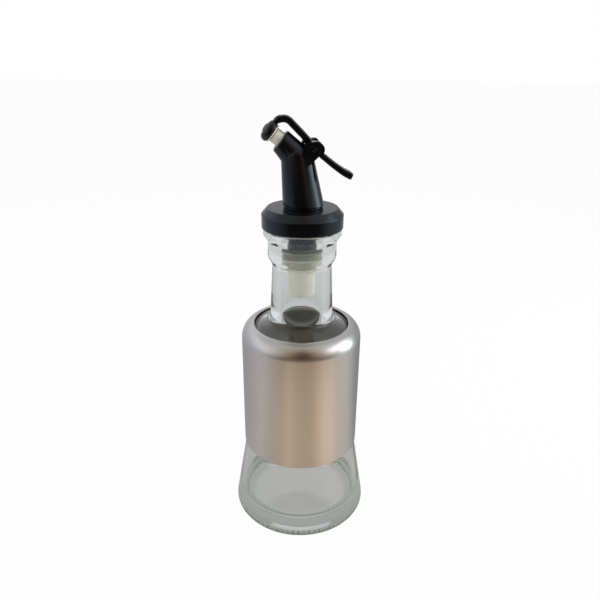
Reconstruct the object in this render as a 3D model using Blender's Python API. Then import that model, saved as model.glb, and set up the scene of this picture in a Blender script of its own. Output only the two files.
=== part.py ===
# Lemon juice bottle: a glass bottle with a steel sleeve, and a pourer with a sprung lid lever.
# The foot stands on z = 0, the bottle's axis is Z and the nozzle points to -X.
import math

import bmesh
import bpy
from mathutils import Matrix, Vector

# Clearance between neighbouring pieces
FIT_GAP = 0.0003

# Steel sleeve
SLEEVE_RADIUS = 0.0320
SLEEVE_WALL = 0.0006
SLEEVE_LENGTH = 0.0722
SLEEVE_SHOULDER_HEIGHT = 0.0080
SLEEVE_MOUTH_RADIUS = 0.0252

# Glass bottle, from the foot up; the foot's radius is its corner before the heel is rounded
FOOT_RADIUS = 0.0380
FOOT_HEIGHT = 0.0432
WAIST_DROP = 0.0010
WAIST_FILLET = 0.0200
HEEL_FILLET = 0.0025
BEARING_RADIUS = 0.0300
BEARING_FILLET = 0.0010
PUNT_RADIUS = 0.0265
PUNT_DEPTH = 0.0022
PUNT_EDGE_DEPTH = 0.0006
PUNT_FILLET = 0.0020
FLOOR_THICKNESS = 0.0063
FLOOR_DOME = 0.0016
FLOOR_FILLET = 0.0070
GLASS_WALL = 0.0026
SHOULDER_ANGLE = math.radians(24)
NECK_FOOT_RADIUS = 0.0166
NECK_FOOT_FILLET = 0.0036
NECK_TOP_RADIUS = 0.0153
NECK_LENGTH = 0.0302
NECK_BORE_RADIUS = 0.0110
INNER_FILLET = 0.0050
BORE_FOOT_FILLET = 0.0100
COLLAR_RADIUS = 0.0175
COLLAR_UNDERCUT = 0.0040
COLLAR_LENGTH = 0.0085
COLLAR_FILLET = 0.0030
LIP_CHAMFER_HEIGHT = 0.0034
LIP_RADIUS = 0.0198
LIP_THICKNESS = 0.0028
LIP_FILLET = 0.0007

# Cap flange with its spigot
CAP_RADIUS = 0.0205
CAP_SIDE_HEIGHT = 0.0071
CAP_CHAMFER_HEIGHT = 0.0032
CAP_TOP_RADIUS = 0.0177
CAP_LOW_FILLET = 0.0009
CAP_EDGE_FILLET = 0.0006
SPIGOT_RADIUS = 0.0072
SPIGOT_LENGTH = 0.0090
PIPE_WALL = 0.0014
PIPE_LENGTH = 0.0090

# Ribbed stopper
STOPPER_RADIUS = 0.0070
STOPPER_LENGTH = 0.0258
RIB_COUNT = 3
RIB_FIRST_DEPTH = 0.0012
RIB_PITCH = 0.00385
RIB_THICKNESS = 0.0010

# Stem with its tenon
TENON_RADIUS = 0.0060
TENON_LENGTH = 0.0037
STEM_FOOT_RADIUS = 0.0097
STEM_FOOT_HEIGHT = 0.0009
STEM_RADIUS = 0.0102
STEM_CHAMFER = 0.0004
STEM_OFFSET = 0.0003
STEM_CROWN_RADIUS = 0.0078
STEM_HEIGHT = 0.0252
STEM_LEAN = 0.0032
STEM_DOME_HEIGHT = 0.0050
DECK_REACH = 0.0020
DECK_RISE = 0.0287
DECK_ANGLE = math.radians(41)

# Spout head
HEAD_REACH = 0.0111
HEAD_RISE = 0.0320
HEAD_RADIUS = 0.0058
HEAD_FILLET = 0.0010
HEAD_ROOT_REACH = 0.0024
HEAD_ROOT_RISE = 0.0230
HEAD_ROOT_RADIUS = 0.0072
NOZZLE_ANGLE = math.radians(37.5)

# Pour tube with its nozzle
TUBE_RADIUS = 0.0029
TUBE_BORE_RADIUS = 0.0020
TUBE_DROP = 0.0433
TUBE_LEAN_RISE = 0.0082
TUBE_LEAN_FILLET = 0.0200
TUBE_BEND_FILLET = 0.0070
TUBE_RUN = 0.0091
NOZZLE_RADIUS = 0.0036
NOZZLE_OFFSET = 0.0005
NOZZLE_SEAT_DEPTH = 0.0015
NOZZLE_LENGTH = 0.0039
NOZZLE_FILLET = 0.0004

# Yoke that holds the lever's pin
PIVOT_REACH = 0.0050
PIVOT_RISE = 0.0285
YOKE_WIDTH = 0.0150
YOKE_SLOT_WIDTH = 0.0092
EAR_RADIUS = 0.0033
EAR_TOP_RISE = 0.0043
EAR_TOP_FILLET = 0.0024
EAR_FRONT_REACH = 0.0060
EAR_FRONT_TOP_REACH = 0.0050
EAR_FRONT_RISE = 0.0030
EAR_FRONT_FILLET = 0.0008
EAR_ROOT_LENGTH = 0.0091
EAR_ROOT_WIDTH = 0.0046

# Pivot pin
PIN_RADIUS = 0.0010
PIN_INSET = 0.0002

# Lever: an arm over the head, a knuckle on the pin and a tail to press
ARM_REACH = 0.0182
ARM_RISE = 0.0133
ARM_WIDTH = 0.0056
ARM_THICKNESS = 0.0033
TAIL_REACH = 0.0186
TAIL_DROP = 0.0134
TAIL_WIDTH = 0.0082
TAIL_THICKNESS = 0.0029
LEVER_EDGE_FILLET = 0.0009
KNUCKLE_WIDTH = 0.0084
KNUCKLE_RADIUS = 0.0033
HUMP_REACH = 0.0016
HUMP_DROP = 0.0004
SPRING_SLOT_WIDTH = 0.0046
SPRING_SLOT_RADIUS = 0.00275

# Lid with its tab, and the seal in front of it
SEAL_RADIUS = 0.0046
SEAL_THICKNESS = 0.0008
LID_RADIUS = 0.0053
LID_OFFSET = 0.0001
LID_THICKNESS = 0.0036
LID_DOME = 0.0008
LID_FRONT_FILLET = 0.0004
LID_BACK_FILLET = 0.0025
TAB_LENGTH = 0.0030
TAB_WIDTH = 0.0026
TAB_THICKNESS = 0.0012
TAB_INSET = 0.0012
TAB_SINK = 0.0007

# Return spring
SPRING_WIRE = 0.0005
SPRING_PITCH = 0.00095
SPRING_CURLS = 3
SPRING_HIGH_LEG = 0.0044
SPRING_LOW_ANGLE = math.radians(315)

# Centre line of the lever as shares of its reach and rise, with shares of its thickness and width
ARM_SHARES = (
    (1.000, 0.865, 0.70, 0.94),
    (0.960, 0.930, 0.86, 1.00),
    (0.907, 0.975, 0.94, 1.00),
    (0.824, 1.000, 0.97, 1.00),
    (0.725, 0.993, 1.00, 1.00),
    (0.637, 0.929, 1.00, 1.00),
    (0.563, 0.833, 1.00, 1.00),
    (0.250, 0.401, 1.00, 1.00),
    (0.118, 0.200, 1.00, 1.00),
)
TAIL_SHARES = (
    (0.030, 0.035, 1.00, 0.78),
    (0.260, 0.310, 1.00, 0.80),
    (0.508, 0.580, 1.02, 0.88),
    (0.740, 0.807, 1.08, 0.97),
    (0.900, 0.930, 1.14, 1.00),
    (0.970, 0.980, 1.12, 0.98),
    (1.000, 1.000, 0.94, 0.90),
)

# Fineness of the round shapes
BODY_STEPS = 40
CAP_STEPS = 32
SMALL_STEPS = 24
TUBE_SIDES = 16
PIN_SIDES = 16
FILLET_STEPS = 3
DOME_STEPS = 4
CURL_POINTS = 10
SMOOTH_ANGLE = math.radians(38)
CUT_OVERRUN = 0.0040
WELD_DISTANCE = 0.000001

# Heights and radii of the seats, from the sizes above
WAIST_Z = FOOT_HEIGHT - WAIST_DROP
MOUTH_Z = FOOT_HEIGHT + SLEEVE_LENGTH
SHOULDER_LOW_Z = MOUTH_Z - SLEEVE_SHOULDER_HEIGHT
BODY_RADIUS = SLEEVE_RADIUS - SLEEVE_WALL - FIT_GAP
SHOULDER_SEAT_Z = MOUTH_Z - SLEEVE_WALL - FIT_GAP / math.cos(SHOULDER_ANGLE)
FLOOR_Z = PUNT_DEPTH + FLOOR_THICKNESS
FLOOR_EDGE_Z = FLOOR_Z - FLOOR_DOME
NECK_FOOT_Z = SHOULDER_SEAT_Z + (SLEEVE_MOUTH_RADIUS - NECK_FOOT_RADIUS) * math.tan(SHOULDER_ANGLE)
COLLAR_FOOT_Z = NECK_FOOT_Z + NECK_LENGTH
COLLAR_LOW_Z = COLLAR_FOOT_Z + COLLAR_UNDERCUT
COLLAR_TOP_Z = COLLAR_LOW_Z + COLLAR_LENGTH
LIP_LOW_Z = COLLAR_TOP_Z + LIP_CHAMFER_HEIGHT
LIP_TOP_Z = LIP_LOW_Z + LIP_THICKNESS
CAP_LOW_Z = LIP_TOP_Z + FIT_GAP
CAP_EDGE_Z = CAP_LOW_Z + CAP_SIDE_HEIGHT
CAP_TOP_Z = CAP_EDGE_Z + CAP_CHAMFER_HEIGHT
SPIGOT_LOW_Z = CAP_LOW_Z - SPIGOT_LENGTH
PIPE_LOW_Z = SPIGOT_LOW_Z - PIPE_LENGTH
TUBE_HOLE_RADIUS = TUBE_RADIUS + FIT_GAP
PIPE_RADIUS = TUBE_HOLE_RADIUS + PIPE_WALL
STOPPER_TOP_Z = SPIGOT_LOW_Z - FIT_GAP
STOPPER_LOW_Z = STOPPER_TOP_Z - STOPPER_LENGTH
STEM_SEAT_Z = CAP_TOP_Z + FIT_GAP
STEM_LOW_Z = STEM_SEAT_Z + STEM_FOOT_HEIGHT
HOLE_RADIUS = PIN_RADIUS + FIT_GAP
SPRING_RADIUS = TAIL_THICKNESS / 2 + FIT_GAP + SPRING_WIRE / 2
POCKET_RADIUS = math.hypot(HUMP_REACH, HUMP_DROP) + KNUCKLE_RADIUS + FIT_GAP


def aim(angle):
    """Unit vector up and to -X at this angle over the horizontal."""
    return Vector((-math.cos(angle), 0, math.sin(angle)))


def across(angle):
    """Unit vector square to aim(angle), up and to +X."""
    return Vector((math.sin(angle), 0, math.cos(angle)))


# Places in the spout's plane
SIDE = Vector((0, 1, 0))
NOZZLE_AIM = aim(NOZZLE_ANGLE)
NOZZLE_ACROSS = across(NOZZLE_ANGLE)
PIVOT = Vector((PIVOT_REACH, 0, CAP_TOP_Z + PIVOT_RISE))
HEAD_CENTRE = Vector((-HEAD_REACH, 0, CAP_TOP_Z + HEAD_RISE))
HEAD_ROOT = Vector((-HEAD_ROOT_REACH, 0, CAP_TOP_Z + HEAD_ROOT_RISE))
DECK = Vector((DECK_REACH, 0, CAP_TOP_Z + DECK_RISE))
NOZZLE_SEAT = HEAD_CENTRE + NOZZLE_ACROSS * NOZZLE_OFFSET
SEAL_FRONT = NOZZLE_SEAT + NOZZLE_AIM * (NOZZLE_LENGTH + FIT_GAP)
LID_FRONT = SEAL_FRONT + NOZZLE_AIM * (SEAL_THICKNESS + FIT_GAP) + NOZZLE_ACROSS * LID_OFFSET
LID_BACK = LID_FRONT + NOZZLE_AIM * LID_THICKNESS
TAB_START = LID_BACK - NOZZLE_AIM * TAB_INSET + NOZZLE_ACROSS * (LID_RADIUS - TAB_SINK)
TAB_END = TAB_START + Vector((TAB_LENGTH, 0, 0))


def clear_objects():
    for item in list(bpy.data.objects):
        bpy.data.objects.remove(item, do_unlink=True)


def make_material(name, colour, roughness, metallic=0.0, transmission=0.0):
    material = bpy.data.materials.new(name)
    material.use_nodes = True
    shader = material.node_tree.nodes["Principled BSDF"]
    shader.inputs["Base Color"].default_value = (*colour, 1.0)
    shader.inputs["Roughness"].default_value = roughness
    shader.inputs["Metallic"].default_value = metallic
    shader.inputs["Transmission Weight"].default_value = transmission
    return material


def add_object(name, shape, material):
    """Makes an object from a bmesh, shaded smooth with its sharp edges kept."""
    bmesh.ops.recalc_face_normals(shape, faces=shape.faces)
    mesh = bpy.data.meshes.new(name)
    shape.to_mesh(mesh)
    shape.free()
    mesh.shade_smooth()
    mesh.set_sharp_from_angle(angle=SMOOTH_ANGLE)
    if material:
        mesh.materials.append(material)
    item = bpy.data.objects.new(name, mesh)
    bpy.context.collection.objects.link(item)
    return item


def combine(target, guide, operation):
    """Cuts a guide shape from the target, or adds it, with an exact Boolean."""
    guide.hide_render = True
    guide.display_type = "WIRE"
    modifier = target.modifiers.new(guide.name, "BOOLEAN")
    modifier.operation = operation
    modifier.solver = "EXACT"
    modifier.object = guide


def carry(name, place, pieces):
    """Parents pieces to an empty that stands on their joint's axis."""
    holder = bpy.data.objects.new(name, None)
    holder.location = place
    bpy.context.collection.objects.link(holder)
    for piece in pieces:
        piece.parent = holder
        piece.matrix_parent_inverse = Matrix.Translation(-Vector(place))
    return holder


def rounded_corner(before, corner, after, radius):
    """Points of the arc that rounds one corner of an outline."""
    to_before = (before - corner).normalized()
    to_after = (after - corner).normalized()
    half = to_before.angle(to_after) / 2
    centre = corner + (to_before + to_after).normalized() * (radius / math.sin(half))
    start = corner + to_before * (radius / math.tan(half)) - centre
    end = corner + to_after * (radius / math.tan(half)) - centre
    turn = start.angle(end)
    points = []
    for step in range(FILLET_STEPS + 1):
        share = step / FILLET_STEPS
        reach = start * math.sin((1 - share) * turn) + end * math.sin(share * turn)
        points.append(centre + reach / math.sin(turn))
    return points


def outline(corners, closed=True):
    """Turns corners (across, up, fillet radius) into points, each fillet as an arc."""
    places = [Vector(corner[:2]) for corner in corners]
    points = []
    for index, place in enumerate(places):
        radius = corners[index][2]
        inside = closed or 0 < index < len(places) - 1
        if radius and inside:
            after = places[(index + 1) % len(places)]
            points.extend(rounded_corner(places[index - 1], place, after, radius))
        else:
            points.append(place)
    return points


def circle(centre, radius, sides):
    """Points of a circle in the spout's plane."""
    turns = [2 * math.pi * index / sides for index in range(sides)]
    return [
        Vector((centre.x + radius * math.cos(turn), centre.z + radius * math.sin(turn)))
        for turn in turns
    ]


def hull(centre, other, radius, sides):
    """Points of the outline round two like circles in the spout's plane."""
    middle = Vector((centre.x, centre.z))
    points = []
    for first, second in zip(circle(centre, radius, sides), circle(other, radius, sides)):
        out = first - middle
        points.append(first if first.dot(out) > second.dot(out) else second)
    return points


def turned(name, points, steps, material=None, closed=True):
    """Turns an outline of (radius, height) once round Z."""
    shape = bmesh.new()
    verts = [shape.verts.new((point[0], 0, point[1])) for point in points]
    edges = [shape.edges.new(pair) for pair in zip(verts, verts[1:])]
    if closed:
        edges.append(shape.edges.new((verts[-1], verts[0])))
    bmesh.ops.spin(
        shape, geom=verts + edges, axis=(0, 0, 1), cent=(0, 0, 0),
        angle=2 * math.pi, steps=steps, use_merge=True,
    )
    bmesh.ops.remove_doubles(shape, verts=shape.verts, dist=WELD_DISTANCE)
    return add_object(name, shape, material)


def extruded(name, points, low, high, material=None):
    """Extrudes an outline in the spout's plane from y = low to y = high."""
    shape = bmesh.new()
    face = shape.faces.new([shape.verts.new((point[0], low, point[1])) for point in points])
    grown = bmesh.ops.extrude_face_region(shape, geom=[face])["geom"]
    moved = [item for item in grown if isinstance(item, bmesh.types.BMVert)]
    bmesh.ops.translate(shape, verts=moved, vec=(0, high - low, 0))
    return add_object(name, shape, material)


def bridge(shape, ring, next_ring):
    for index in range(len(ring)):
        after = (index + 1) % len(ring)
        shape.faces.new((ring[index], ring[after], next_ring[after], next_ring[index]))


def ring_verts(shape, centre, normal, radius, sides):
    """Vertices of a circle that faces along a normal in the spout's plane."""
    up = normal.cross(SIDE).normalized()
    turns = [2 * math.pi * index / sides for index in range(sides)]
    return [
        shape.verts.new(centre + (up * math.cos(turn) + SIDE * math.sin(turn)) * radius)
        for turn in turns
    ]


def skinned(shape, stations, sides):
    """Skins circles, each given as (centre, normal, radius), and returns the end rings."""
    rings = [ring_verts(shape, *station, sides) for station in stations]
    for ring, next_ring in zip(rings, rings[1:]):
        bridge(shape, ring, next_ring)
    return rings[0], rings[-1]


def lofted(name, stations, sides, material=None):
    """A solid skinned over circles, closed at both ends."""
    shape = bmesh.new()
    for ring in skinned(shape, stations, sides):
        shape.faces.new(ring)
    return add_object(name, shape, material)


def rim(centre, normal, radius, fillet):
    """Stations that round a loft's end, which faces along the normal at the centre."""
    stations = []
    for step in range(FILLET_STEPS + 1):
        turn = math.pi / 2 * step / FILLET_STEPS
        back = normal * (fillet * (1 - math.sin(turn)))
        stations.append((centre - back, normal, radius - fillet * (1 - math.cos(turn))))
    return stations


def glass_bottle(material):
    slope = math.tan(SHOULDER_ANGLE)
    corner_z = SHOULDER_SEAT_Z - (BODY_RADIUS - SLEEVE_MOUTH_RADIUS) * slope
    turn = (math.pi / 2 - SHOULDER_ANGLE) / 2
    shoulder_fillet = (corner_z - SHOULDER_LOW_Z) / math.tan(turn)
    inner_radius = BODY_RADIUS - GLASS_WALL
    inner_drop = GLASS_WALL / math.cos(SHOULDER_ANGLE)
    inner_corner_z = corner_z + GLASS_WALL * slope - inner_drop
    inner_neck_z = NECK_FOOT_Z + (NECK_FOOT_RADIUS - NECK_BORE_RADIUS) * slope - inner_drop
    foot_taper = (FOOT_RADIUS - BODY_RADIUS) / WAIST_Z
    floor_radius = FOOT_RADIUS - foot_taper * FLOOR_EDGE_Z - GLASS_WALL
    corners = [
        (0, PUNT_DEPTH, 0),
        (PUNT_RADIUS, PUNT_EDGE_DEPTH, PUNT_FILLET),
        (BEARING_RADIUS, 0, BEARING_FILLET),
        (FOOT_RADIUS, 0, HEEL_FILLET),
        (BODY_RADIUS, WAIST_Z, WAIST_FILLET),
        (BODY_RADIUS, corner_z, shoulder_fillet),
        (NECK_FOOT_RADIUS, NECK_FOOT_Z, NECK_FOOT_FILLET),
        (NECK_TOP_RADIUS, COLLAR_FOOT_Z, COLLAR_FILLET),
        (COLLAR_RADIUS, COLLAR_LOW_Z, COLLAR_FILLET),
        (COLLAR_RADIUS, COLLAR_TOP_Z, 0),
        (LIP_RADIUS, LIP_LOW_Z, LIP_FILLET),
        (LIP_RADIUS, LIP_TOP_Z, LIP_FILLET),
        (NECK_BORE_RADIUS, LIP_TOP_Z, LIP_FILLET),
        (NECK_BORE_RADIUS, inner_neck_z, BORE_FOOT_FILLET),
        (inner_radius, inner_corner_z, INNER_FILLET),
        (inner_radius, WAIST_Z, WAIST_FILLET),
        (floor_radius, FLOOR_EDGE_Z, FLOOR_FILLET),
        (0, FLOOR_Z, 0),
    ]
    return turned("glass_bottle", outline(corners, False), BODY_STEPS, material, False)


def shoulder_arc(inset):
    """Quarter ellipse of the sleeve's shoulder, from its mouth down, set in by a wall."""
    points = []
    for step in range(2 * FILLET_STEPS + 1):
        turn = math.pi / 2 * (1 - step / (2 * FILLET_STEPS))
        reach = (SLEEVE_RADIUS - SLEEVE_MOUTH_RADIUS - inset) * math.cos(turn)
        rise = (SLEEVE_SHOULDER_HEIGHT - inset) * math.sin(turn)
        points.append((SLEEVE_MOUTH_RADIUS + reach, SHOULDER_LOW_Z + rise))
    return points


def steel_sleeve(material):
    outer = shoulder_arc(0) + [(SLEEVE_RADIUS, FOOT_HEIGHT)]
    inner = shoulder_arc(SLEEVE_WALL) + [(SLEEVE_RADIUS - SLEEVE_WALL, FOOT_HEIGHT)]
    return turned("steel_sleeve", outer + inner[::-1], BODY_STEPS, material)


def cap_flange(material):
    recess_radius = TENON_RADIUS + FIT_GAP
    recess_z = CAP_TOP_Z - TENON_LENGTH - FIT_GAP
    corners = [
        (recess_radius, CAP_TOP_Z, 0),
        (CAP_TOP_RADIUS, CAP_TOP_Z, CAP_EDGE_FILLET),
        (CAP_RADIUS, CAP_EDGE_Z, CAP_EDGE_FILLET),
        (CAP_RADIUS, CAP_LOW_Z, CAP_LOW_FILLET),
        (SPIGOT_RADIUS, CAP_LOW_Z, 0),
        (SPIGOT_RADIUS, SPIGOT_LOW_Z, 0),
        (PIPE_RADIUS, SPIGOT_LOW_Z, 0),
        (PIPE_RADIUS, PIPE_LOW_Z, 0),
        (TUBE_HOLE_RADIUS, PIPE_LOW_Z, 0),
        (TUBE_HOLE_RADIUS, recess_z, 0),
        (recess_radius, recess_z, 0),
    ]
    return turned("cap_flange", outline(corners), CAP_STEPS, material)


def ribbed_stopper(material):
    rib_radius = NECK_BORE_RADIUS - FIT_GAP
    corners = [(STOPPER_RADIUS, STOPPER_TOP_Z, 0)]
    for index in range(RIB_COUNT):
        top = STOPPER_TOP_Z - RIB_FIRST_DEPTH - index * RIB_PITCH + RIB_THICKNESS / 2
        low = top - RIB_THICKNESS
        corners += [(STOPPER_RADIUS, top, 0), (rib_radius, top, 0)]
        corners += [(rib_radius, low, 0), (STOPPER_RADIUS, low, 0)]
    seat_z = PIPE_LOW_Z - FIT_GAP
    corners += [
        (STOPPER_RADIUS, STOPPER_LOW_Z, 0),
        (TUBE_HOLE_RADIUS, STOPPER_LOW_Z, 0),
        (TUBE_HOLE_RADIUS, seat_z, 0),
        (PIPE_RADIUS + FIT_GAP, seat_z, 0),
        (PIPE_RADIUS + FIT_GAP, STOPPER_TOP_Z, 0),
    ]
    return turned("ribbed_stopper", outline(corners), SMALL_STEPS, material)


def tube_path(radius):
    """Stations along the tube from its low end up to the nozzle's seat."""
    bend = NOZZLE_SEAT - NOZZLE_AIM * TUBE_RUN
    corners = [
        (0, CAP_TOP_Z - TUBE_DROP, 0),
        (0, CAP_TOP_Z + TUBE_LEAN_RISE, TUBE_LEAN_FILLET),
        (bend.x, bend.z, TUBE_BEND_FILLET),
        (NOZZLE_SEAT.x, NOZZLE_SEAT.z, 0),
    ]
    places = [Vector((point.x, 0, point.y)) for point in outline(corners, False)]
    places[-1] = NOZZLE_SEAT - NOZZLE_AIM * NOZZLE_SEAT_DEPTH
    stations = []
    for index, place in enumerate(places):
        before = places[max(index - 1, 0)]
        after = places[min(index + 1, len(places) - 1)]
        stations.append((place, (after - before).normalized(), radius))
    return stations


def pour_tube(material):
    """A bent pipe that ends in a thicker nozzle."""
    path = tube_path(TUBE_RADIUS)
    seat = path[-1][0] + NOZZLE_AIM * FIT_GAP
    end = NOZZLE_SEAT + NOZZLE_AIM * NOZZLE_LENGTH
    outer = path[:-1] + [(seat, NOZZLE_AIM, TUBE_RADIUS), (seat, NOZZLE_AIM, NOZZLE_RADIUS)]
    outer += rim(end, NOZZLE_AIM, NOZZLE_RADIUS, NOZZLE_FILLET)
    inner = tube_path(TUBE_BORE_RADIUS)[:-1] + [(end, NOZZLE_AIM, TUBE_BORE_RADIUS)]
    shape = bmesh.new()
    outer_ends = skinned(shape, outer, TUBE_SIDES)
    inner_ends = skinned(shape, inner, TUBE_SIDES)
    for outer_end, inner_end in zip(outer_ends, inner_ends):
        bridge(shape, outer_end, inner_end)
    return add_object("pour_tube", shape, material)


def tube_cutter():
    """The tube's clearance through the stem, with the wider seat of the nozzle."""
    path = tube_path(TUBE_HOLE_RADIUS)
    seat = path[-1][0]
    seat_radius = NOZZLE_RADIUS + FIT_GAP
    outside = NOZZLE_SEAT + NOZZLE_AIM * CUT_OVERRUN
    stations = path + [(seat, NOZZLE_AIM, seat_radius), (outside, NOZZLE_AIM, seat_radius)]
    return lofted("tube_hole", stations, TUBE_SIDES)


def stem_core(material):
    """The leaning stem with its tenon and foot, domed on top."""
    up = Vector((0, 0, 1))
    foot = Vector((STEM_OFFSET, 0, STEM_LOW_Z))
    crown = Vector((STEM_OFFSET - STEM_LEAN, 0, CAP_TOP_Z + STEM_HEIGHT))
    stations = [
        (up * (CAP_TOP_Z - TENON_LENGTH), up, TENON_RADIUS),
        (up * STEM_SEAT_Z, up, TENON_RADIUS),
        (Vector((STEM_OFFSET, 0, STEM_SEAT_Z)), up, STEM_FOOT_RADIUS),
        (foot, up, STEM_FOOT_RADIUS),
        (foot, up, STEM_RADIUS - STEM_CHAMFER),
        (foot + up * STEM_CHAMFER, up, STEM_RADIUS),
        (crown, up, STEM_CROWN_RADIUS),
    ]
    for step in range(1, DOME_STEPS + 1):
        turn = math.pi / 2 * step / (DOME_STEPS + 0.5)
        rise = up * (STEM_DOME_HEIGHT * math.sin(turn))
        stations.append((crown + rise, up, STEM_CROWN_RADIUS * math.cos(turn)))
    return lofted("spout_stem", stations, CAP_STEPS, material)


def deck_cutter():
    """Everything over the sloping deck behind the head."""
    along = Vector((math.cos(DECK_ANGLE), 0, -math.sin(DECK_ANGLE))) * STEM_HEIGHT
    low = DECK + along
    high = DECK - along
    top_z = high.z + STEM_HEIGHT
    points = [(high.x, high.z), (low.x, low.z), (low.x, top_z), (high.x, top_z)]
    return extruded("deck_cut", points, -YOKE_WIDTH, YOKE_WIDTH)


def spout_head():
    """The tapered barrel that runs from inside the stem out to the nozzle's face."""
    stations = [(HEAD_ROOT, NOZZLE_AIM, HEAD_ROOT_RADIUS)]
    stations += rim(HEAD_CENTRE, NOZZLE_AIM, HEAD_RADIUS, HEAD_FILLET)
    return lofted("spout_head", stations, CAP_STEPS)


def ear(name, low, high):
    """One plate of the yoke, round about the pin and leaning into the stem."""
    root_x = PIVOT.x - EAR_ROOT_WIDTH
    root_z = PIVOT.z - EAR_ROOT_LENGTH
    front_z = PIVOT.z - EAR_RADIUS / 2
    corners = [
        (PIVOT.x - EAR_FRONT_TOP_REACH, PIVOT.z + EAR_FRONT_RISE, EAR_FRONT_FILLET),
        (PIVOT.x + EAR_RADIUS, PIVOT.z + EAR_TOP_RISE, EAR_TOP_FILLET),
        (PIVOT.x + EAR_RADIUS, front_z, EAR_RADIUS / 2),
        (root_x, root_z, 0),
        (root_x - EAR_ROOT_WIDTH, root_z + EAR_RADIUS, 0),
        (PIVOT.x - EAR_FRONT_REACH, front_z, 0),
    ]
    return extruded(name, outline(corners), low, high)


def spout_stem(material):
    item = stem_core(material)
    slot = YOKE_SLOT_WIDTH / 2
    half = YOKE_WIDTH / 2
    pocket = extruded("knuckle_pocket", circle(PIVOT, POCKET_RADIUS, CAP_STEPS), -slot, slot)
    pin_hole = circle(PIVOT, HOLE_RADIUS, PIN_SIDES)
    combine(item, deck_cutter(), "DIFFERENCE")
    combine(item, spout_head(), "UNION")
    combine(item, ear("near_ear", -half, -slot), "UNION")
    combine(item, ear("far_ear", slot, half), "UNION")
    combine(item, pocket, "DIFFERENCE")
    combine(item, tube_cutter(), "DIFFERENCE")
    combine(item, extruded("pin_hole", pin_hole, -YOKE_WIDTH, YOKE_WIDTH), "DIFFERENCE")
    return item


def pivot_pin(material):
    half = YOKE_WIDTH / 2 - PIN_INSET
    return extruded("pivot_pin", circle(PIVOT, PIN_RADIUS, PIN_SIDES), -half, half, material)


def lever_stations():
    """Places along the lever from its fork to its tail, with thickness and width."""
    stations = []
    for reach, rise, thickness, width in ARM_SHARES:
        place = PIVOT + Vector((-reach * ARM_REACH, 0, rise * ARM_RISE))
        stations.append((place, thickness * ARM_THICKNESS, width * ARM_WIDTH))
    for reach, drop, thickness, width in TAIL_SHARES:
        place = PIVOT + Vector((reach * TAIL_REACH, 0, -drop * TAIL_DROP))
        stations.append((place, thickness * TAIL_THICKNESS, width * TAIL_WIDTH))
    return stations


def bar_section(shape, place, along, thickness, width):
    """Vertices of a rounded rectangle square to the lever's centre line."""
    up = along.cross(SIDE).normalized()
    fillet = min(LEVER_EDGE_FILLET, thickness / 2 - WELD_DISTANCE)
    verts = []
    for quarter, (up_sign, side_sign) in enumerate(((1, 1), (-1, 1), (-1, -1), (1, -1))):
        for step in range(3):
            turn = math.pi / 2 * (quarter + step / 2)
            rise = up_sign * (thickness / 2 - fillet) + fillet * math.cos(turn)
            reach = side_sign * (width / 2 - fillet) + fillet * math.sin(turn)
            verts.append(shape.verts.new(place + up * rise + SIDE * reach))
    return verts


def lever_bar(material):
    shape = bmesh.new()
    stations = lever_stations()
    rings = []
    for index, (place, thickness, width) in enumerate(stations):
        before = stations[max(index - 1, 0)][0]
        after = stations[min(index + 1, len(stations) - 1)][0]
        rings.append(bar_section(shape, place, (after - before).normalized(), thickness, width))
    for ring, next_ring in zip(rings, rings[1:]):
        bridge(shape, ring, next_ring)
    shape.faces.new(rings[0])
    shape.faces.new(rings[-1])
    return add_object("lever", shape, material)


def knuckle():
    """The round part of the lever between the ears, with a hump on the tail's side."""
    hump = PIVOT + Vector((HUMP_REACH, 0, -HUMP_DROP))
    points = hull(PIVOT, hump, KNUCKLE_RADIUS, CAP_STEPS)
    return extruded("knuckle", points, -KNUCKLE_WIDTH / 2, KNUCKLE_WIDTH / 2)


def spring_slot():
    """The room for the spring in the knuckle, open at the underside."""
    low = PIVOT - Vector((0, 0, KNUCKLE_RADIUS + CUT_OVERRUN))
    points = hull(PIVOT, low, SPRING_SLOT_RADIUS, SMALL_STEPS)
    return extruded("spring_slot", points, -SPRING_SLOT_WIDTH / 2, SPRING_SLOT_WIDTH / 2)


def fork_slot():
    """The slot in the arm's end that takes the lid's tab."""
    half = TAB_WIDTH / 2 + FIT_GAP
    inner = TAB_END.x + FIT_GAP
    outer = PIVOT.x - ARM_REACH - CUT_OVERRUN
    top = PIVOT.z + ARM_RISE + CUT_OVERRUN
    low = TAB_END.z - CUT_OVERRUN
    points = [(outer, low), (inner, low), (inner, top), (outer, top)]
    return extruded("fork_slot", points, -half, half)


def lid_room():
    """The lid's clearance, which shapes the prongs of the arm's fork."""
    radius = LID_RADIUS + FIT_GAP
    front = LID_FRONT - NOZZLE_AIM * CUT_OVERRUN
    back = LID_BACK + NOZZLE_AIM * CUT_OVERRUN
    return lofted("lid_room", [(front, NOZZLE_AIM, radius), (back, NOZZLE_AIM, radius)], CAP_STEPS)


def lever(material):
    item = lever_bar(material)
    bore = circle(PIVOT, HOLE_RADIUS, PIN_SIDES)
    combine(item, knuckle(), "UNION")
    combine(item, spring_slot(), "DIFFERENCE")
    combine(item, extruded("lever_bore", bore, -KNUCKLE_WIDTH, KNUCKLE_WIDTH), "DIFFERENCE")
    combine(item, fork_slot(), "DIFFERENCE")
    combine(item, lid_room(), "DIFFERENCE")
    return item


def lid_tab():
    half = Vector((0, 0, TAB_THICKNESS / 2))
    corners = (TAB_START - half, TAB_END - half, TAB_END + half, TAB_START + half)
    points = [(corner.x, corner.z) for corner in corners]
    return extruded("lid_tab", points, -TAB_WIDTH / 2, TAB_WIDTH / 2)


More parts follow.
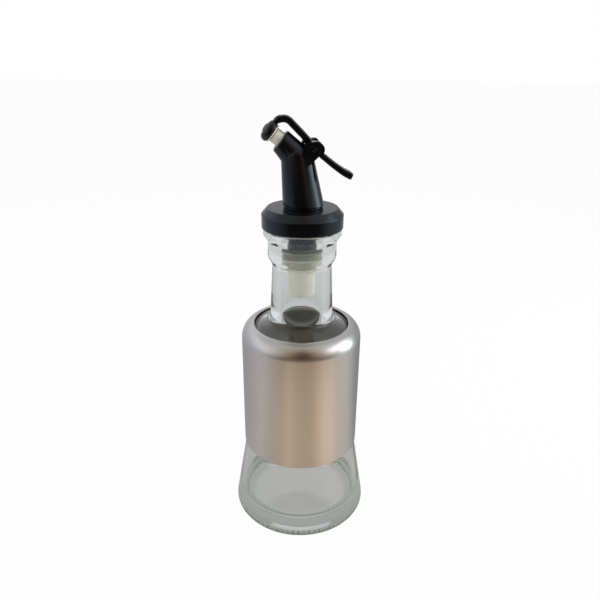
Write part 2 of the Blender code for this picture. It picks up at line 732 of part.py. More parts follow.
def lid(material):
    front = rim(LID_FRONT, -NOZZLE_AIM, LID_RADIUS, LID_FRONT_FILLET)
    stations = [(place, NOZZLE_AIM, radius) for place, normal, radius in reversed(front)]
    stations += rim(LID_BACK, NOZZLE_AIM, LID_RADIUS, LID_BACK_FILLET)
    crown = LID_BACK + NOZZLE_AIM * LID_DOME
    stations.append((crown, NOZZLE_AIM, (LID_RADIUS - LID_BACK_FILLET) / 2))
    item = lofted("lid", stations, SMALL_STEPS, material)
    combine(item, lid_tab(), "UNION")
    return item


def lid_seal(material):
    back = SEAL_FRONT + NOZZLE_AIM * SEAL_THICKNESS
    stations = [(SEAL_FRONT, NOZZLE_AIM, SEAL_RADIUS), (back, NOZZLE_AIM, SEAL_RADIUS)]
    return lofted("lid_seal", stations, SMALL_STEPS, material)


def leg_direction(turn):
    """Where the wire points as it leaves the coil at this turn."""
    return Vector((-math.sin(turn), 0, math.cos(turn)))


def spring_points():
    """A leg on the pocket's floor, the curls, and a leg under the lever's tail."""
    reach, drop = TAIL_SHARES[1][:2]
    tail_angle = math.atan2(-drop * TAIL_DROP, reach * TAIL_REACH)
    sweep = tail_angle - math.pi / 2 - SPRING_LOW_ANGLE + 2 * math.pi * (SPRING_CURLS + 1)
    count = round(sweep / (2 * math.pi) * CURL_POINTS)
    turns = [SPRING_LOW_ANGLE + sweep * index / count for index in range(count + 1)]
    middle = SPRING_LOW_ANGLE + sweep / 2
    points = []
    for turn in turns:
        out = Vector((math.cos(turn), 0, math.sin(turn))) * SPRING_RADIUS
        travel = SPRING_PITCH * (turn - middle) / (2 * math.pi)
        points.append(PIVOT + out + SIDE * travel)
    floor = POCKET_RADIUS - FIT_GAP - SPRING_WIRE / 2
    low_leg = math.sqrt(floor * floor - SPRING_RADIUS * SPRING_RADIUS)
    first_end = points[0] - leg_direction(turns[0]) * low_leg
    last_end = points[-1] + leg_direction(turns[-1]) * SPRING_HIGH_LEG
    return [first_end] + points + [last_end]


def least_gap(points):
    """Least distance between the wire's faces on neighbouring curls."""
    curls = points[1:-1]
    apart = CURL_POINTS * 3 // 4
    gaps = [
        (curls[index] - other).length
        for index in range(len(curls))
        for other in curls[index + apart:]
    ]
    return min(gaps) - SPRING_WIRE


def return_spring(material):
    points = spring_points()
    print("least gap between curls in mm:", round(least_gap(points) * 1000, 3))
    curve = bpy.data.curves.new("return_spring", "CURVE")
    curve.dimensions = "3D"
    curve.bevel_depth = SPRING_WIRE / 2
    curve.bevel_resolution = 1
    curve.use_fill_caps = True
    spline = curve.splines.new("POLY")
    spline.points.add(len(points) - 1)
    for point, place in zip(spline.points, points):
        point.co = (*place, 1)
    curve.materials.append(material)
    item = bpy.data.objects.new("return_spring", curve)
    bpy.context.collection.objects.link(item)
    return item


def build():
    clear_objects()
    glass = make_material("clear_glass", (0.90, 0.94, 0.92), 0.03, transmission=1.0)
    steel = make_material("brushed_steel", (0.62, 0.60, 0.58), 0.30, metallic=1.0)
    black = make_material("black_plastic", (0.015, 0.016, 0.020), 0.18)
    cream = make_material("cream_silicone", (0.52, 0.50, 0.43), 0.45)
    wire = make_material("spring_steel", (0.55, 0.55, 0.56), 0.30, metallic=1.0)
    glass_bottle(glass)
    steel_sleeve(steel)
    still = [ribbed_stopper(cream), cap_flange(black), spout_stem(black)]
    still += [pour_tube(cream), pivot_pin(black), return_spring(wire)]
    pourer = carry("pourer_axis", (0, 0, CAP_LOW_Z), still)
    lever_axis = carry("lever_axis", PIVOT, [lever(black), lid(black), lid_seal(cream)])
    lever_axis.parent = pourer
    lever_axis.matrix_parent_inverse = Matrix.Translation((0, 0, -CAP_LOW_Z))


build()
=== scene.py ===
import math

import bmesh
import bpy
from mathutils import Matrix, Vector

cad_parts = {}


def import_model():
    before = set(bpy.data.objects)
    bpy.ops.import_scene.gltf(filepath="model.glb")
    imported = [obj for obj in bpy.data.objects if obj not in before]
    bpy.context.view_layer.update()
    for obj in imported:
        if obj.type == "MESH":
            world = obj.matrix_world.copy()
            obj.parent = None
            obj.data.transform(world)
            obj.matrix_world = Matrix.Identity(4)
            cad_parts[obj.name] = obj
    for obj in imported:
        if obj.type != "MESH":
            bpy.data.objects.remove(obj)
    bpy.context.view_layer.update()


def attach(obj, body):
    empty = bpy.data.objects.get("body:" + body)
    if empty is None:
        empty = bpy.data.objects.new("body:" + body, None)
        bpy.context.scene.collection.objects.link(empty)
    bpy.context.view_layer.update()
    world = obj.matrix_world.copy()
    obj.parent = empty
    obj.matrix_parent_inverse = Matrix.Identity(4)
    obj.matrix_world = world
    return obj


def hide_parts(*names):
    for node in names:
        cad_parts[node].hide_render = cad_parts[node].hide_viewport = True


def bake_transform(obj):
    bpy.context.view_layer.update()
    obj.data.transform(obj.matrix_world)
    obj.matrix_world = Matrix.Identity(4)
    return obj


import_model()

# Clearance between neighbouring pieces
FIT_GAP = 0.0003

# Steel sleeve
SLEEVE_RADIUS = 0.0320
SLEEVE_WALL = 0.0006
SLEEVE_LENGTH = 0.0722
SLEEVE_SHOULDER_HEIGHT = 0.0080
SLEEVE_MOUTH_RADIUS = 0.0252
SLEEVE_EDGE_FILLET = 0.00025

# Glass bottle
FOOT_RADIUS = 0.0380
FOOT_HEIGHT = 0.0432
WAIST_DROP = 0.0010
WAIST_FILLET = 0.0200
HEEL_FILLET = 0.0025
BEARING_RADIUS = 0.0300
BEARING_FILLET = 0.0010
PUNT_RADIUS = 0.0265
PUNT_DEPTH = 0.0022
PUNT_EDGE_DEPTH = 0.0006
PUNT_FILLET = 0.0020
FLOOR_THICKNESS = 0.0063
FLOOR_DOME = 0.0016
FLOOR_FILLET = 0.0070
GLASS_WALL = 0.0026
SHOULDER_ANGLE = math.radians(24)
NECK_FOOT_RADIUS = 0.0166
NECK_FOOT_FILLET = 0.0036
NECK_TOP_RADIUS = 0.0153
NECK_LENGTH = 0.0302
NECK_BORE_RADIUS = 0.0110
INNER_FILLET = 0.0050
BORE_FOOT_FILLET = 0.0100
COLLAR_RADIUS = 0.0175
COLLAR_UNDERCUT = 0.0040
COLLAR_LENGTH = 0.0085
COLLAR_FILLET = 0.0030
LIP_CHAMFER_HEIGHT = 0.0034
LIP_RADIUS = 0.0198
LIP_THICKNESS = 0.0028
LIP_FILLET = 0.0007

# Cap flange with its spigot
CAP_RADIUS = 0.0205
CAP_SIDE_HEIGHT = 0.0071
CAP_CHAMFER_HEIGHT = 0.0032
CAP_TOP_RADIUS = 0.0177
CAP_LOW_FILLET = 0.0009
CAP_EDGE_FILLET = 0.0006
SPIGOT_RADIUS = 0.0072
SPIGOT_LENGTH = 0.0090
PIPE_WALL = 0.0014
PIPE_LENGTH = 0.0090

# Ribbed stopper
STOPPER_RADIUS = 0.0070
STOPPER_LENGTH = 0.0258
RIB_COUNT = 3
RIB_FIRST_DEPTH = 0.0012
RIB_PITCH = 0.00385
RIB_THICKNESS = 0.0010
RIB_FILLET = 0.0003

# Stem and head
TENON_RADIUS = 0.0060
TENON_LENGTH = 0.0037
STEM_FOOT_RADIUS = 0.0097
STEM_FOOT_HEIGHT = 0.0009
STEM_RADIUS = 0.0102
STEM_CHAMFER = 0.0004
STEM_OFFSET = 0.0003
STEM_CROWN_RADIUS = 0.0078
STEM_HEIGHT = 0.0252
STEM_LEAN = 0.0032
STEM_DOME_HEIGHT = 0.0050
DECK_REACH = 0.0020
DECK_RISE = 0.0287
DECK_ANGLE = math.radians(41)
HEAD_REACH = 0.0111
HEAD_RISE = 0.0320
HEAD_RADIUS = 0.0058
HEAD_FILLET = 0.0010
HEAD_ROOT_REACH = 0.0024
HEAD_ROOT_RISE = 0.0230
HEAD_ROOT_RADIUS = 0.0072
NOZZLE_ANGLE = math.radians(37.5)

# Pour tube with its nozzle
TUBE_RADIUS = 0.0029
TUBE_BORE_RADIUS = 0.0020
TUBE_DROP = 0.0433
TUBE_LEAN_RISE = 0.0082
TUBE_LEAN_FILLET = 0.0200
TUBE_BEND_FILLET = 0.0070
TUBE_RUN = 0.0091
NOZZLE_RADIUS = 0.0036
NOZZLE_OFFSET = 0.0005
NOZZLE_SEAT_DEPTH = 0.0015
NOZZLE_LENGTH = 0.0039
NOZZLE_FILLET = 0.0004

# Yoke and pin
PIVOT_REACH = 0.0050
PIVOT_RISE = 0.0285
YOKE_WIDTH = 0.0150
YOKE_SLOT_WIDTH = 0.0092
EAR_RADIUS = 0.0033
EAR_TOP_RISE = 0.0043
EAR_TOP_FILLET = 0.0024
EAR_FRONT_REACH = 0.0060
EAR_FRONT_TOP_REACH = 0.0050
EAR_FRONT_RISE = 0.0030
EAR_FRONT_FILLET = 0.0008
EAR_ROOT_LENGTH = 0.0091
EAR_ROOT_WIDTH = 0.0046
PIN_RADIUS = 0.0010
PIN_INSET = 0.0002
PIN_FILLET = 0.0002

# Lever
ARM_REACH = 0.0182
ARM_RISE = 0.0133
ARM_WIDTH = 0.0056
ARM_THICKNESS = 0.0033
TAIL_REACH = 0.0186
TAIL_DROP = 0.0134
TAIL_WIDTH = 0.0082
TAIL_THICKNESS = 0.0029
LEVER_EDGE_FILLET = 0.0009
KNUCKLE_WIDTH = 0.0084
KNUCKLE_RADIUS = 0.0033
HUMP_REACH = 0.0016
HUMP_DROP = 0.0004
SPRING_SLOT_WIDTH = 0.0046
SPRING_SLOT_RADIUS = 0.00275

# Lid and seal
SEAL_RADIUS = 0.0046
SEAL_THICKNESS = 0.0008
SEAL_FILLET = 0.0003
LID_RADIUS = 0.0053
LID_OFFSET = 0.0001
LID_THICKNESS = 0.0036
LID_DOME = 0.0008
LID_DOME_SHARES = (0.8, 0.6, 0.4, 0.2)
LID_FRONT_FILLET = 0.0004
LID_BACK_FILLET = 0.0025
TAB_LENGTH = 0.0030
TAB_WIDTH = 0.0026
TAB_THICKNESS = 0.0012
TAB_INSET = 0.0012
TAB_SINK = 0.0007

# Return spring
SPRING_WIRE = 0.0005
SPRING_PITCH = 0.00095
SPRING_CURLS = 3
SPRING_HIGH_LEG = 0.0044
SPRING_LOW_ANGLE = math.radians(315)

# Sections of the lever from the arm's end to the tail's: reach, rise or drop, thickness and
# width, as shares of the whole
ARM_SHARES = (
    (1.000, 0.865, 0.70, 0.94),
    (0.960, 0.930, 0.86, 1.00),
    (0.907, 0.975, 0.94, 1.00),
    (0.824, 1.000, 0.97, 1.00),
    (0.725, 0.993, 1.00, 1.00),
    (0.637, 0.929, 1.00, 1.00),
    (0.563, 0.833, 1.00, 1.00),
    (0.250, 0.401, 1.00, 1.00),
    (0.118, 0.200, 1.00, 1.00),
)
TAIL_SHARES = (
    (0.030, 0.035, 1.00, 0.78),
    (0.260, 0.310, 1.00, 0.80),
    (0.508, 0.580, 1.02, 0.88),
    (0.740, 0.807, 1.08, 0.97),
    (0.900, 0.930, 1.14, 1.00),
    (0.970, 0.980, 1.12, 0.98),
    (1.000, 1.000, 0.94, 0.90),
)

# Fineness of the round shapes
BODY_STEPS = 256
CAP_STEPS = 128
SMALL_STEPS = 96
HEAD_STEPS = 96
TUBE_SIDES = 48
PIN_SIDES = 32
FILLET_STEPS = 8
DOME_STEPS = 10
SHOULDER_STEPS = 24
WIRE_STEPS = 4
CURL_POINTS = 36
BAR_STEPS = 6
BAR_POINTS = 6
SMOOTH_ANGLE = math.radians(30)
CUT_OVERRUN = 0.0040
WELD_DISTANCE = 0.000001

# Heights and radii of the seats
WAIST_Z = FOOT_HEIGHT - WAIST_DROP
MOUTH_Z = FOOT_HEIGHT + SLEEVE_LENGTH
SHOULDER_LOW_Z = MOUTH_Z - SLEEVE_SHOULDER_HEIGHT
BODY_RADIUS = SLEEVE_RADIUS - SLEEVE_WALL - FIT_GAP
SHOULDER_SEAT_Z = MOUTH_Z - SLEEVE_WALL - FIT_GAP / math.cos(SHOULDER_ANGLE)
FLOOR_Z = PUNT_DEPTH + FLOOR_THICKNESS
FLOOR_EDGE_Z = FLOOR_Z - FLOOR_DOME
NECK_FOOT_RISE = (SLEEVE_MOUTH_RADIUS - NECK_FOOT_RADIUS) * math.tan(SHOULDER_ANGLE)
NECK_FOOT_Z = SHOULDER_SEAT_Z + NECK_FOOT_RISE
COLLAR_FOOT_Z = NECK_FOOT_Z + NECK_LENGTH
COLLAR_LOW_Z = COLLAR_FOOT_Z + COLLAR_UNDERCUT
COLLAR_TOP_Z = COLLAR_LOW_Z + COLLAR_LENGTH
LIP_LOW_Z = COLLAR_TOP_Z + LIP_CHAMFER_HEIGHT
LIP_TOP_Z = LIP_LOW_Z + LIP_THICKNESS
CAP_LOW_Z = LIP_TOP_Z + FIT_GAP
CAP_EDGE_Z = CAP_LOW_Z + CAP_SIDE_HEIGHT
CAP_TOP_Z = CAP_EDGE_Z + CAP_CHAMFER_HEIGHT
SPIGOT_LOW_Z = CAP_LOW_Z - SPIGOT_LENGTH
PIPE_LOW_Z = SPIGOT_LOW_Z - PIPE_LENGTH
TUBE_HOLE_RADIUS = TUBE_RADIUS + FIT_GAP
PIPE_RADIUS = TUBE_HOLE_RADIUS + PIPE_WALL
STOPPER_TOP_Z = SPIGOT_LOW_Z - FIT_GAP
STOPPER_LOW_Z = STOPPER_TOP_Z - STOPPER_LENGTH
STEM_SEAT_Z = CAP_TOP_Z + FIT_GAP
STEM_LOW_Z = STEM_SEAT_Z + STEM_FOOT_HEIGHT
HOLE_RADIUS = PIN_RADIUS + FIT_GAP
SPRING_RADIUS = TAIL_THICKNESS / 2 + FIT_GAP + SPRING_WIRE / 2
POCKET_RADIUS = math.hypot(HUMP_REACH, HUMP_DROP) + KNUCKLE_RADIUS + FIT_GAP


def at(x, z):
    return Vector((x, 0, z))


def aim(angle):
    """Direction forwards, raised by an angle."""
    return at(-math.cos(angle), math.sin(angle))


def across(angle):
    """Direction upwards, square to the aim of the same angle."""
    return at(math.sin(angle), math.cos(angle))


SIDE = Vector((0, 1, 0))
UP = at(0, 1)
NOZZLE_AIM = aim(NOZZLE_ANGLE)
NOZZLE_ACROSS = across(NOZZLE_ANGLE)
PIVOT = at(PIVOT_REACH, CAP_TOP_Z + PIVOT_RISE)
HEAD_CENTRE = at(-HEAD_REACH, CAP_TOP_Z + HEAD_RISE)
HEAD_ROOT = at(-HEAD_ROOT_REACH, CAP_TOP_Z + HEAD_ROOT_RISE)
DECK = at(DECK_REACH, CAP_TOP_Z + DECK_RISE)
NOZZLE_SEAT = HEAD_CENTRE + NOZZLE_ACROSS * NOZZLE_OFFSET
SEAL_FRONT = NOZZLE_SEAT + NOZZLE_AIM * (NOZZLE_LENGTH + FIT_GAP)
LID_FRONT = SEAL_FRONT + NOZZLE_AIM * (SEAL_THICKNESS + FIT_GAP) + NOZZLE_ACROSS * LID_OFFSET
LID_BACK = LID_FRONT + NOZZLE_AIM * LID_THICKNESS
TAB_START = LID_BACK - NOZZLE_AIM * TAB_INSET + NOZZLE_ACROSS * (LID_RADIUS - TAB_SINK)
TAB_END = TAB_START + at(TAB_LENGTH, 0)


# Shapes

def link_object(name, data):
    item = bpy.data.objects.new(name, data)
    bpy.context.scene.collection.objects.link(item)
    return item


def smooth(mesh):
    """Shades a mesh smooth, apart from its sharp edges."""
    mesh.shade_smooth()
    mesh.set_sharp_from_angle(angle=SMOOTH_ANGLE)


def add_object(name, shape, material=None):
    bmesh.ops.recalc_face_normals(shape, faces=shape.faces)
    mesh = bpy.data.meshes.new(name)
    shape.to_mesh(mesh)
    shape.free()
    smooth(mesh)
    if material:
        mesh.materials.append(material)
    return link_object(name, mesh)


def rounded_corner(before, corner, after, radius):
    """Points of the arc that rounds a corner off."""
    to_before = (before - corner).normalized()
    to_after = (after - corner).normalized()
    half = to_before.angle(to_after) / 2
    centre = corner + (to_before + to_after).normalized() * (radius / math.sin(half))
    start = corner + to_before * (radius / math.tan(half)) - centre
    end = corner + to_after * (radius / math.tan(half)) - centre
    turn = start.angle(end)
    points = []
    for step in range(FILLET_STEPS + 1):
        share = step / FILLET_STEPS
        reach = start * math.sin((1 - share) * turn) + end * math.sin(share * turn)
        points.append(centre + reach / math.sin(turn))
    return points


def outline(corners, closed=True):
    """Points of an outline through corners, each with its X, Z and fillet."""
    places = [Vector(corner[:2]) for corner in corners]
    points = []
    for index, place in enumerate(places):
        radius = corners[index][2]
        inside = closed or 0 < index < len(places) - 1
        if radius and inside:
            after = places[(index + 1) % len(places)]
            points.extend(rounded_corner(places[index - 1], place, after, radius))
        else:
            points.append(place)
    return points


def turns_of(sides):
    return [2 * math.pi * index / sides for index in range(sides)]


def circle(centre, radius, sides):
    return [
        Vector((centre.x + radius * math.cos(turn), centre.z + radius * math.sin(turn)))
        for turn in turns_of(sides)
    ]


def hull(centre, other, radius, sides):
    """Outline round two circles of one radius."""
    middle = Vector((centre.x, centre.z))
    points = []
    for first, second in zip(circle(centre, radius, sides), circle(other, radius, sides)):
        out = first - middle
        points.append(first if first.dot(out) > second.dot(out) else second)
    return points


def turned(name, points, steps, material, closed=True):
    """Turns an outline round the bottle's axis."""
    shape = bmesh.new()
    verts = [shape.verts.new((point[0], 0, point[1])) for point in points]
    edges = [shape.edges.new(pair) for pair in zip(verts, verts[1:])]
    if closed:
        edges.append(shape.edges.new((verts[-1], verts[0])))
    bmesh.ops.spin(
        shape, geom=verts + edges, axis=(0, 0, 1), cent=(0, 0, 0),
        angle=2 * math.pi, steps=steps, use_merge=True,
    )
    bmesh.ops.remove_doubles(shape, verts=shape.verts, dist=WELD_DISTANCE)
    return add_object(name, shape, material)


def extruded(name, points, high, low=None):
    """Draws an outline out along Y, equally far to both sides where low isn't given."""
    if low is None:
        low = -high
    shape = bmesh.new()
    face = shape.faces.new([shape.verts.new((point[0], low, point[1])) for point in points])
    grown = bmesh.ops.extrude_face_region(shape, geom=[face])["geom"]
    moved = [item for item in grown if isinstance(item, bmesh.types.BMVert)]
    bmesh.ops.translate(shape, verts=moved, vec=(0, high - low, 0))
    return add_object(name, shape)


def bridge(shape, ring, next_ring):
    for index in range(len(ring)):
        after = (index + 1) % len(ring)
        shape.faces.new((ring[index], ring[after], next_ring[after], next_ring[index]))


def ring_verts(shape, centre, normal, radius, sides):
    up = normal.cross(SIDE).normalized()
    return [
        shape.verts.new(centre + (up * math.cos(turn) + SIDE * math.sin(turn)) * radius)
        for turn in turns_of(sides)
    ]


def rings_at(shape, stations, sides):
    """Rings at stations, each with its centre, normal and radius."""
    return [ring_verts(shape, *station, sides) for station in stations]


def skinned(shape, rings):
    """Joins rings in their order, and gives back the two at the ends."""
    for ring, next_ring in zip(rings, rings[1:]):
        bridge(shape, ring, next_ring)
    return rings[0], rings[-1]


def closed_off(name, shape, rings, material=None):
    """Joins rings and closes both ends."""
    for ring in skinned(shape, rings):
        shape.faces.new(ring)
    return add_object(name, shape, material)


def lofted(name, stations, sides, material=None):
    shape = bmesh.new()
    return closed_off(name, shape, rings_at(shape, stations, sides), material)


def rim(centre, normal, radius, fillet):
    """Stations of a round end with its edge filleted."""
    stations = []
    for step in range(FILLET_STEPS + 1):
        turn = math.pi / 2 * step / FILLET_STEPS
        back = normal * (fillet * (1 - math.sin(turn)))
        stations.append((centre - back, normal, radius - fillet * (1 - math.cos(turn))))
    return stations


def evaluated_mesh(item):
    graph = bpy.context.evaluated_depsgraph_get()
    return bpy.data.meshes.new_from_object(item.evaluated_get(graph))


def combine(target, guide, operation):
    """Applies a Boolean with a guide to the target, and removes the guide."""
    modifier = target.modifiers.new(guide.name, "BOOLEAN")
    modifier.operation = operation
    modifier.solver = "EXACT"
    modifier.object = guide
    mesh = evaluated_mesh(target)
    target.modifiers.clear()
    old = target.data
    target.data = mesh
    bpy.data.meshes.remove(old)
    bpy.data.objects.remove(guide, do_unlink=True)


def join(target, *guides):
    for guide in guides:
        combine(target, guide, "UNION")


def cut(target, *guides):
    for guide in guides:
        combine(target, guide, "DIFFERENCE")


# Node trees

# Numbers of the Mix node's sockets for colours
MIX_FIRST = 6
MIX_SECOND = 7
MIX_RESULT = 2


def feed(tree, item, inputs):
    """Sets or links inputs of a node by their names or numbers."""
    for key, value in inputs.items():
        if isinstance(value, bpy.types.NodeSocket):
            tree.links.new(value, item.inputs[key])
        else:
            item.inputs[key].default_value = value


def node(tree, kind, inputs=None, **settings):
    item = tree.nodes.new(kind)
    for key, value in settings.items():
        setattr(item, key, value)
    feed(tree, item, inputs or {})
    return item


def new_material(name):
    material = bpy.data.materials.new(name)
    material.use_nodes = True
    tree = material.node_tree
    return material, tree, tree.nodes["Principled BSDF"]


def show(tree, factor, first, second):
    """Gives a material's surface a mix of two shaders."""
    mix = node(tree, "ShaderNodeMixShader", {0: factor, 1: first, 2: second})
    feed(tree, tree.nodes["Material Output"], {"Surface": mix.outputs["Shader"]})


def object_place(tree, scale=None):
    """Object coordinates in metres, stretched by a scale where one is given."""
    place = node(tree, "ShaderNodeTexCoord").outputs["Object"]
    if scale is None:
        return place
    return node(tree, "ShaderNodeMapping", {"Vector": place, "Scale": scale}).outputs["Vector"]


def separated(tree, vector):
    return node(tree, "ShaderNodeSeparateXYZ", {"Vector": vector}).outputs


def combined(tree, *parts):
    """Vector of up to three parts; a part that isn't given is 0."""
    return node(tree, "ShaderNodeCombineXYZ", dict(enumerate(parts))).outputs["Vector"]


def noise(tree, vector, scale, detail, rough):
    inputs = {"Vector": vector, "Scale": scale, "Detail": detail, "Roughness": rough}
    return node(tree, "ShaderNodeTexNoise", inputs).outputs["Fac"]


def bump(tree, height, strength, distance):
    inputs = {"Strength": strength, "Distance": distance, "Height": height}
    return node(tree, "ShaderNodeBump", inputs).outputs["Normal"]


def calculate(tree, operation, *values):
    inputs = dict(enumerate(values))
    return node(tree, "ShaderNodeMath", inputs, operation=operation).outputs["Value"]


def times(tree, first, *others):
    for other in others:
        first = calculate(tree, "MULTIPLY", first, other)
    return first


def spread(tree, value, low, high, to_low, to_high):
    """Maps low to high onto another range, and stays within it."""
    inputs = dict(enumerate((value, low, high, to_low, to_high)))
    return node(tree, "ShaderNodeMapRange", inputs).outputs["Result"]


def fade(tree, value, zero, one):
    """0 at one end and 1 at the other, whichever of them is lower."""
    low, high = sorted((zero, one))
    return spread(tree, value, low, high, float(low == one), float(high == one))


def band(tree, value, low, high, soft):
    """1 between low and high, fading to 0 at both ends over twice soft."""
    rise = fade(tree, value, low - soft, low + soft)
    return times(tree, rise, fade(tree, value, high + soft, high - soft))


def rgba(colour):
    """Gives a tuple its alpha; a socket stays as it is."""
    return (*colour, 1.0) if isinstance(colour, tuple) else colour


def ramp(tree, value, stops):
    item = node(tree, "ShaderNodeValToRGB", {"Fac": value})
    elements = item.color_ramp.elements
    for element, (position, colour) in zip(elements, (stops[0], stops[-1])):
        element.position = position
        element.color = rgba(colour)
    for position, colour in stops[1:-1]:
        elements.new(position).color = rgba(colour)
    return item.outputs["Color"]


def mixed(tree, factor, first, second):
    """Mix of two colours, each a socket or a tuple."""
    inputs = {"Factor": factor, MIX_FIRST: rgba(first), MIX_SECOND: rgba(second)}
    return node(tree, "ShaderNodeMix", inputs, data_type="RGBA").outputs[MIX_RESULT]


def layered(tree, colour, layers):
    """Lays colours over one another, each by its own mask."""
    for mask, over in layers:
        colour = mixed(tree, mask, colour, over)
    return colour


# Look of the glass: its colours, with painted shade that darkens the heel, its edge and its beads,
# then where each look is absent and where it is full
BODY_TINT = (0.88, 0.89, 0.885)
# The heel's colour and its edge's colour are the green of thick glass deepened with painted shade;
# the beads' colour is painted shade
HEEL_TINT_AND_SHADE = (0.46, 0.53, 0.47)
EDGE_TINT_AND_SHADE = (0.12, 0.17, 0.13)
BEAD_PAINTED_SHADE = (0.03, 0.06, 0.035)
NECK_TINT = (0.915, 0.925, 0.93)
COLLAR_TINT = (0.870, 0.890, 0.885)
CLEAR_TINT = (0.95, 0.96, 0.95)
DEEP_TINT = (0.73, 0.755, 0.73)
DEEP_HEEL_TINT_AND_SHADE = (0.50, 0.55, 0.50)
HEEL_HEIGHTS = (0.0090, 0.0030)
HEEL_REACHES = (0.0280, 0.0310)
EDGE_HEIGHTS = (0.0045, 0.0012)
EDGE_REACHES = (0.0345, 0.0358)
BEAD_HEIGHTS = (0.0048, 0.0026)
BEAD_REACHES = (0.0320, 0.0335)
BEAD_LEVELS = (-0.6, 0.9)
NECK_HEIGHTS = (0.06, 0.12)
COLLAR_HEIGHTS = (COLLAR_FOOT_Z - 0.0020, COLLAR_FOOT_Z + 0.0010)
BEAD_COUNT = 78
BEAD_RELIEF = 0.00080
WAVE_RELIEF = 0.0005
WAVE_STRETCH = (1, 1, 0.35)
DEEP_BOUNCES = 1.5


def heel_beads(tree, turn, z, reach):
    """Mask of the uneven beads round the heel."""
    wave = calculate(tree, "SINE", times(tree, turn, BEAD_COUNT))
    speckle = noise(tree, object_place(tree), scale=520.0, detail=2.0, rough=0.6)
    return times(
        tree,
        fade(tree, wave, *BEAD_LEVELS),
        fade(tree, z, *BEAD_HEIGHTS),
        fade(tree, reach, *BEAD_REACHES),
        spread(tree, speckle, low=0.40, high=0.60, to_low=0.15, to_high=1.0),
    )


def glass_material():
    """Clear glass that lets the lamps' light through, with a beaded heel and faint waves; painted
    shade darkens the green heel, its edge and its beads.
    """
    material, tree, shader = new_material("clear_glass_fine")
    x, y, z = separated(tree, object_place(tree))
    turn = calculate(tree, "ARCTAN2", y, x)
    reach = calculate(tree, "SQRT", calculate(tree, "ADD", times(tree, x, x), times(tree, y, y)))
    heel = times(tree, fade(tree, z, *HEEL_HEIGHTS), fade(tree, reach, *HEEL_REACHES))
    edge = times(tree, fade(tree, z, *EDGE_HEIGHTS), fade(tree, reach, *EDGE_REACHES))
    beads = heel_beads(tree, turn, z, reach)
    # Painted shade darkens the heel, its edge and the beads, over the green of thick glass
    tint = layered(tree, BODY_TINT, (
        (heel, HEEL_TINT_AND_SHADE),
        (edge, EDGE_TINT_AND_SHADE),
        (beads, BEAD_PAINTED_SHADE),
        (fade(tree, z, *NECK_HEIGHTS), NECK_TINT),
        (fade(tree, z, *COLLAR_HEIGHTS), COLLAR_TINT),
    ))
    waves = noise(tree, object_place(tree, WAVE_STRETCH), scale=38.0, detail=1.0, rough=0.4)
    relief = (times(tree, beads, BEAD_RELIEF), times(tree, waves, WAVE_RELIEF))
    feed(tree, shader, {
        "Base Color": tint,
        "Roughness": 0.03,
        "IOR": 1.5,
        "Transmission Weight": 1.0,
        "Normal": bump(tree, calculate(tree, "ADD", *relief), strength=1.0, distance=1.0),
    })
    path = node(tree, "ShaderNodeLightPath")
    deep = calculate(tree, "GREATER_THAN", path.outputs["Glossy Depth"], DEEP_BOUNCES)
    # Deep paths through the heel pass darker: thick green glass with painted shade
    deep_tint = mixed(tree, heel, DEEP_TINT, DEEP_HEEL_TINT_AND_SHADE)
    passage = mixed(tree, deep, CLEAR_TINT, deep_tint)
    clear = node(tree, "ShaderNodeBsdfTransparent", {"Color": passage})
    lit = calculate(
        tree, "MAXIMUM", path.outputs["Is Shadow Ray"], path.outputs["Is Diffuse Ray"],
    )
    either = calculate(tree, "MAXIMUM", lit, deep)
    show(tree, either, shader.outputs["BSDF"], clear.outputs["BSDF"])
    return material


# Look of the steel, with its scratches drawn out round the bottle, and painted brown shade on its
# inside
SCRATCH_ROUND = 0.30
SCRATCH_ALONG = 900.0
STEEL_DARK = (0.57, 0.57, 0.57)
STEEL_LIGHT = (0.63, 0.63, 0.63)
STEEL_INSIDE_PAINTED_SHADE = (0.56, 0.48, 0.41)
INSIDE_LEVEL = -0.002


def steel_material():
    """Steel brushed round the bottle, with highlights drawn out along its height, and painted brown
    shade on its inside.
    """
    material, tree, shader = new_material("brushed_steel_fine")
    x, y, z = separated(tree, object_place(tree))
    turn = calculate(tree, "ARCTAN2", y, x)
    scratches = combined(
        tree,
        times(tree, calculate(tree, "COSINE", turn), SCRATCH_ROUND),
        times(tree, calculate(tree, "SINE", turn), SCRATCH_ROUND),
        times(tree, z, SCRATCH_ALONG),
    )
    fine = noise(tree, scratches, scale=6.0, detail=6.0, rough=0.75)
    broad = noise(tree, scratches, scale=0.9, detail=3.0, rough=0.6)
    grain = calculate(tree, "ADD", times(tree, fine, 0.65), times(tree, broad, 0.35))
    normal = node(tree, "ShaderNodeNewGeometry").outputs["Normal"]
    outward = node(
        tree, "ShaderNodeVectorMath", {0: normal, 1: combined(tree, x, y)},
        operation="DOT_PRODUCT",
    )
    # Painted shade: the sleeve's inner surfaces get a brown colour
    inside = calculate(tree, "LESS_THAN", outward.outputs["Value"], INSIDE_LEVEL)
    colour = ramp(tree, grain, ((0.30, STEEL_DARK), (0.70, STEEL_LIGHT)))
    tangent = node(tree, "ShaderNodeTangent", direction_type="RADIAL", axis="Z")
    feed(tree, shader, {
        "Base Color": mixed(tree, inside, colour, STEEL_INSIDE_PAINTED_SHADE),
        "Roughness": spread(tree, grain, low=0.3, high=0.7, to_low=0.27, to_high=0.31),
        "Metallic": 1.0,
        "Anisotropic": 0.6,
        "Anisotropic Rotation": 0.25,
        "Tangent": tangent.outputs["Tangent"],
        "Normal": bump(tree, grain, strength=0.04, distance=0.00003),
    })
    return material


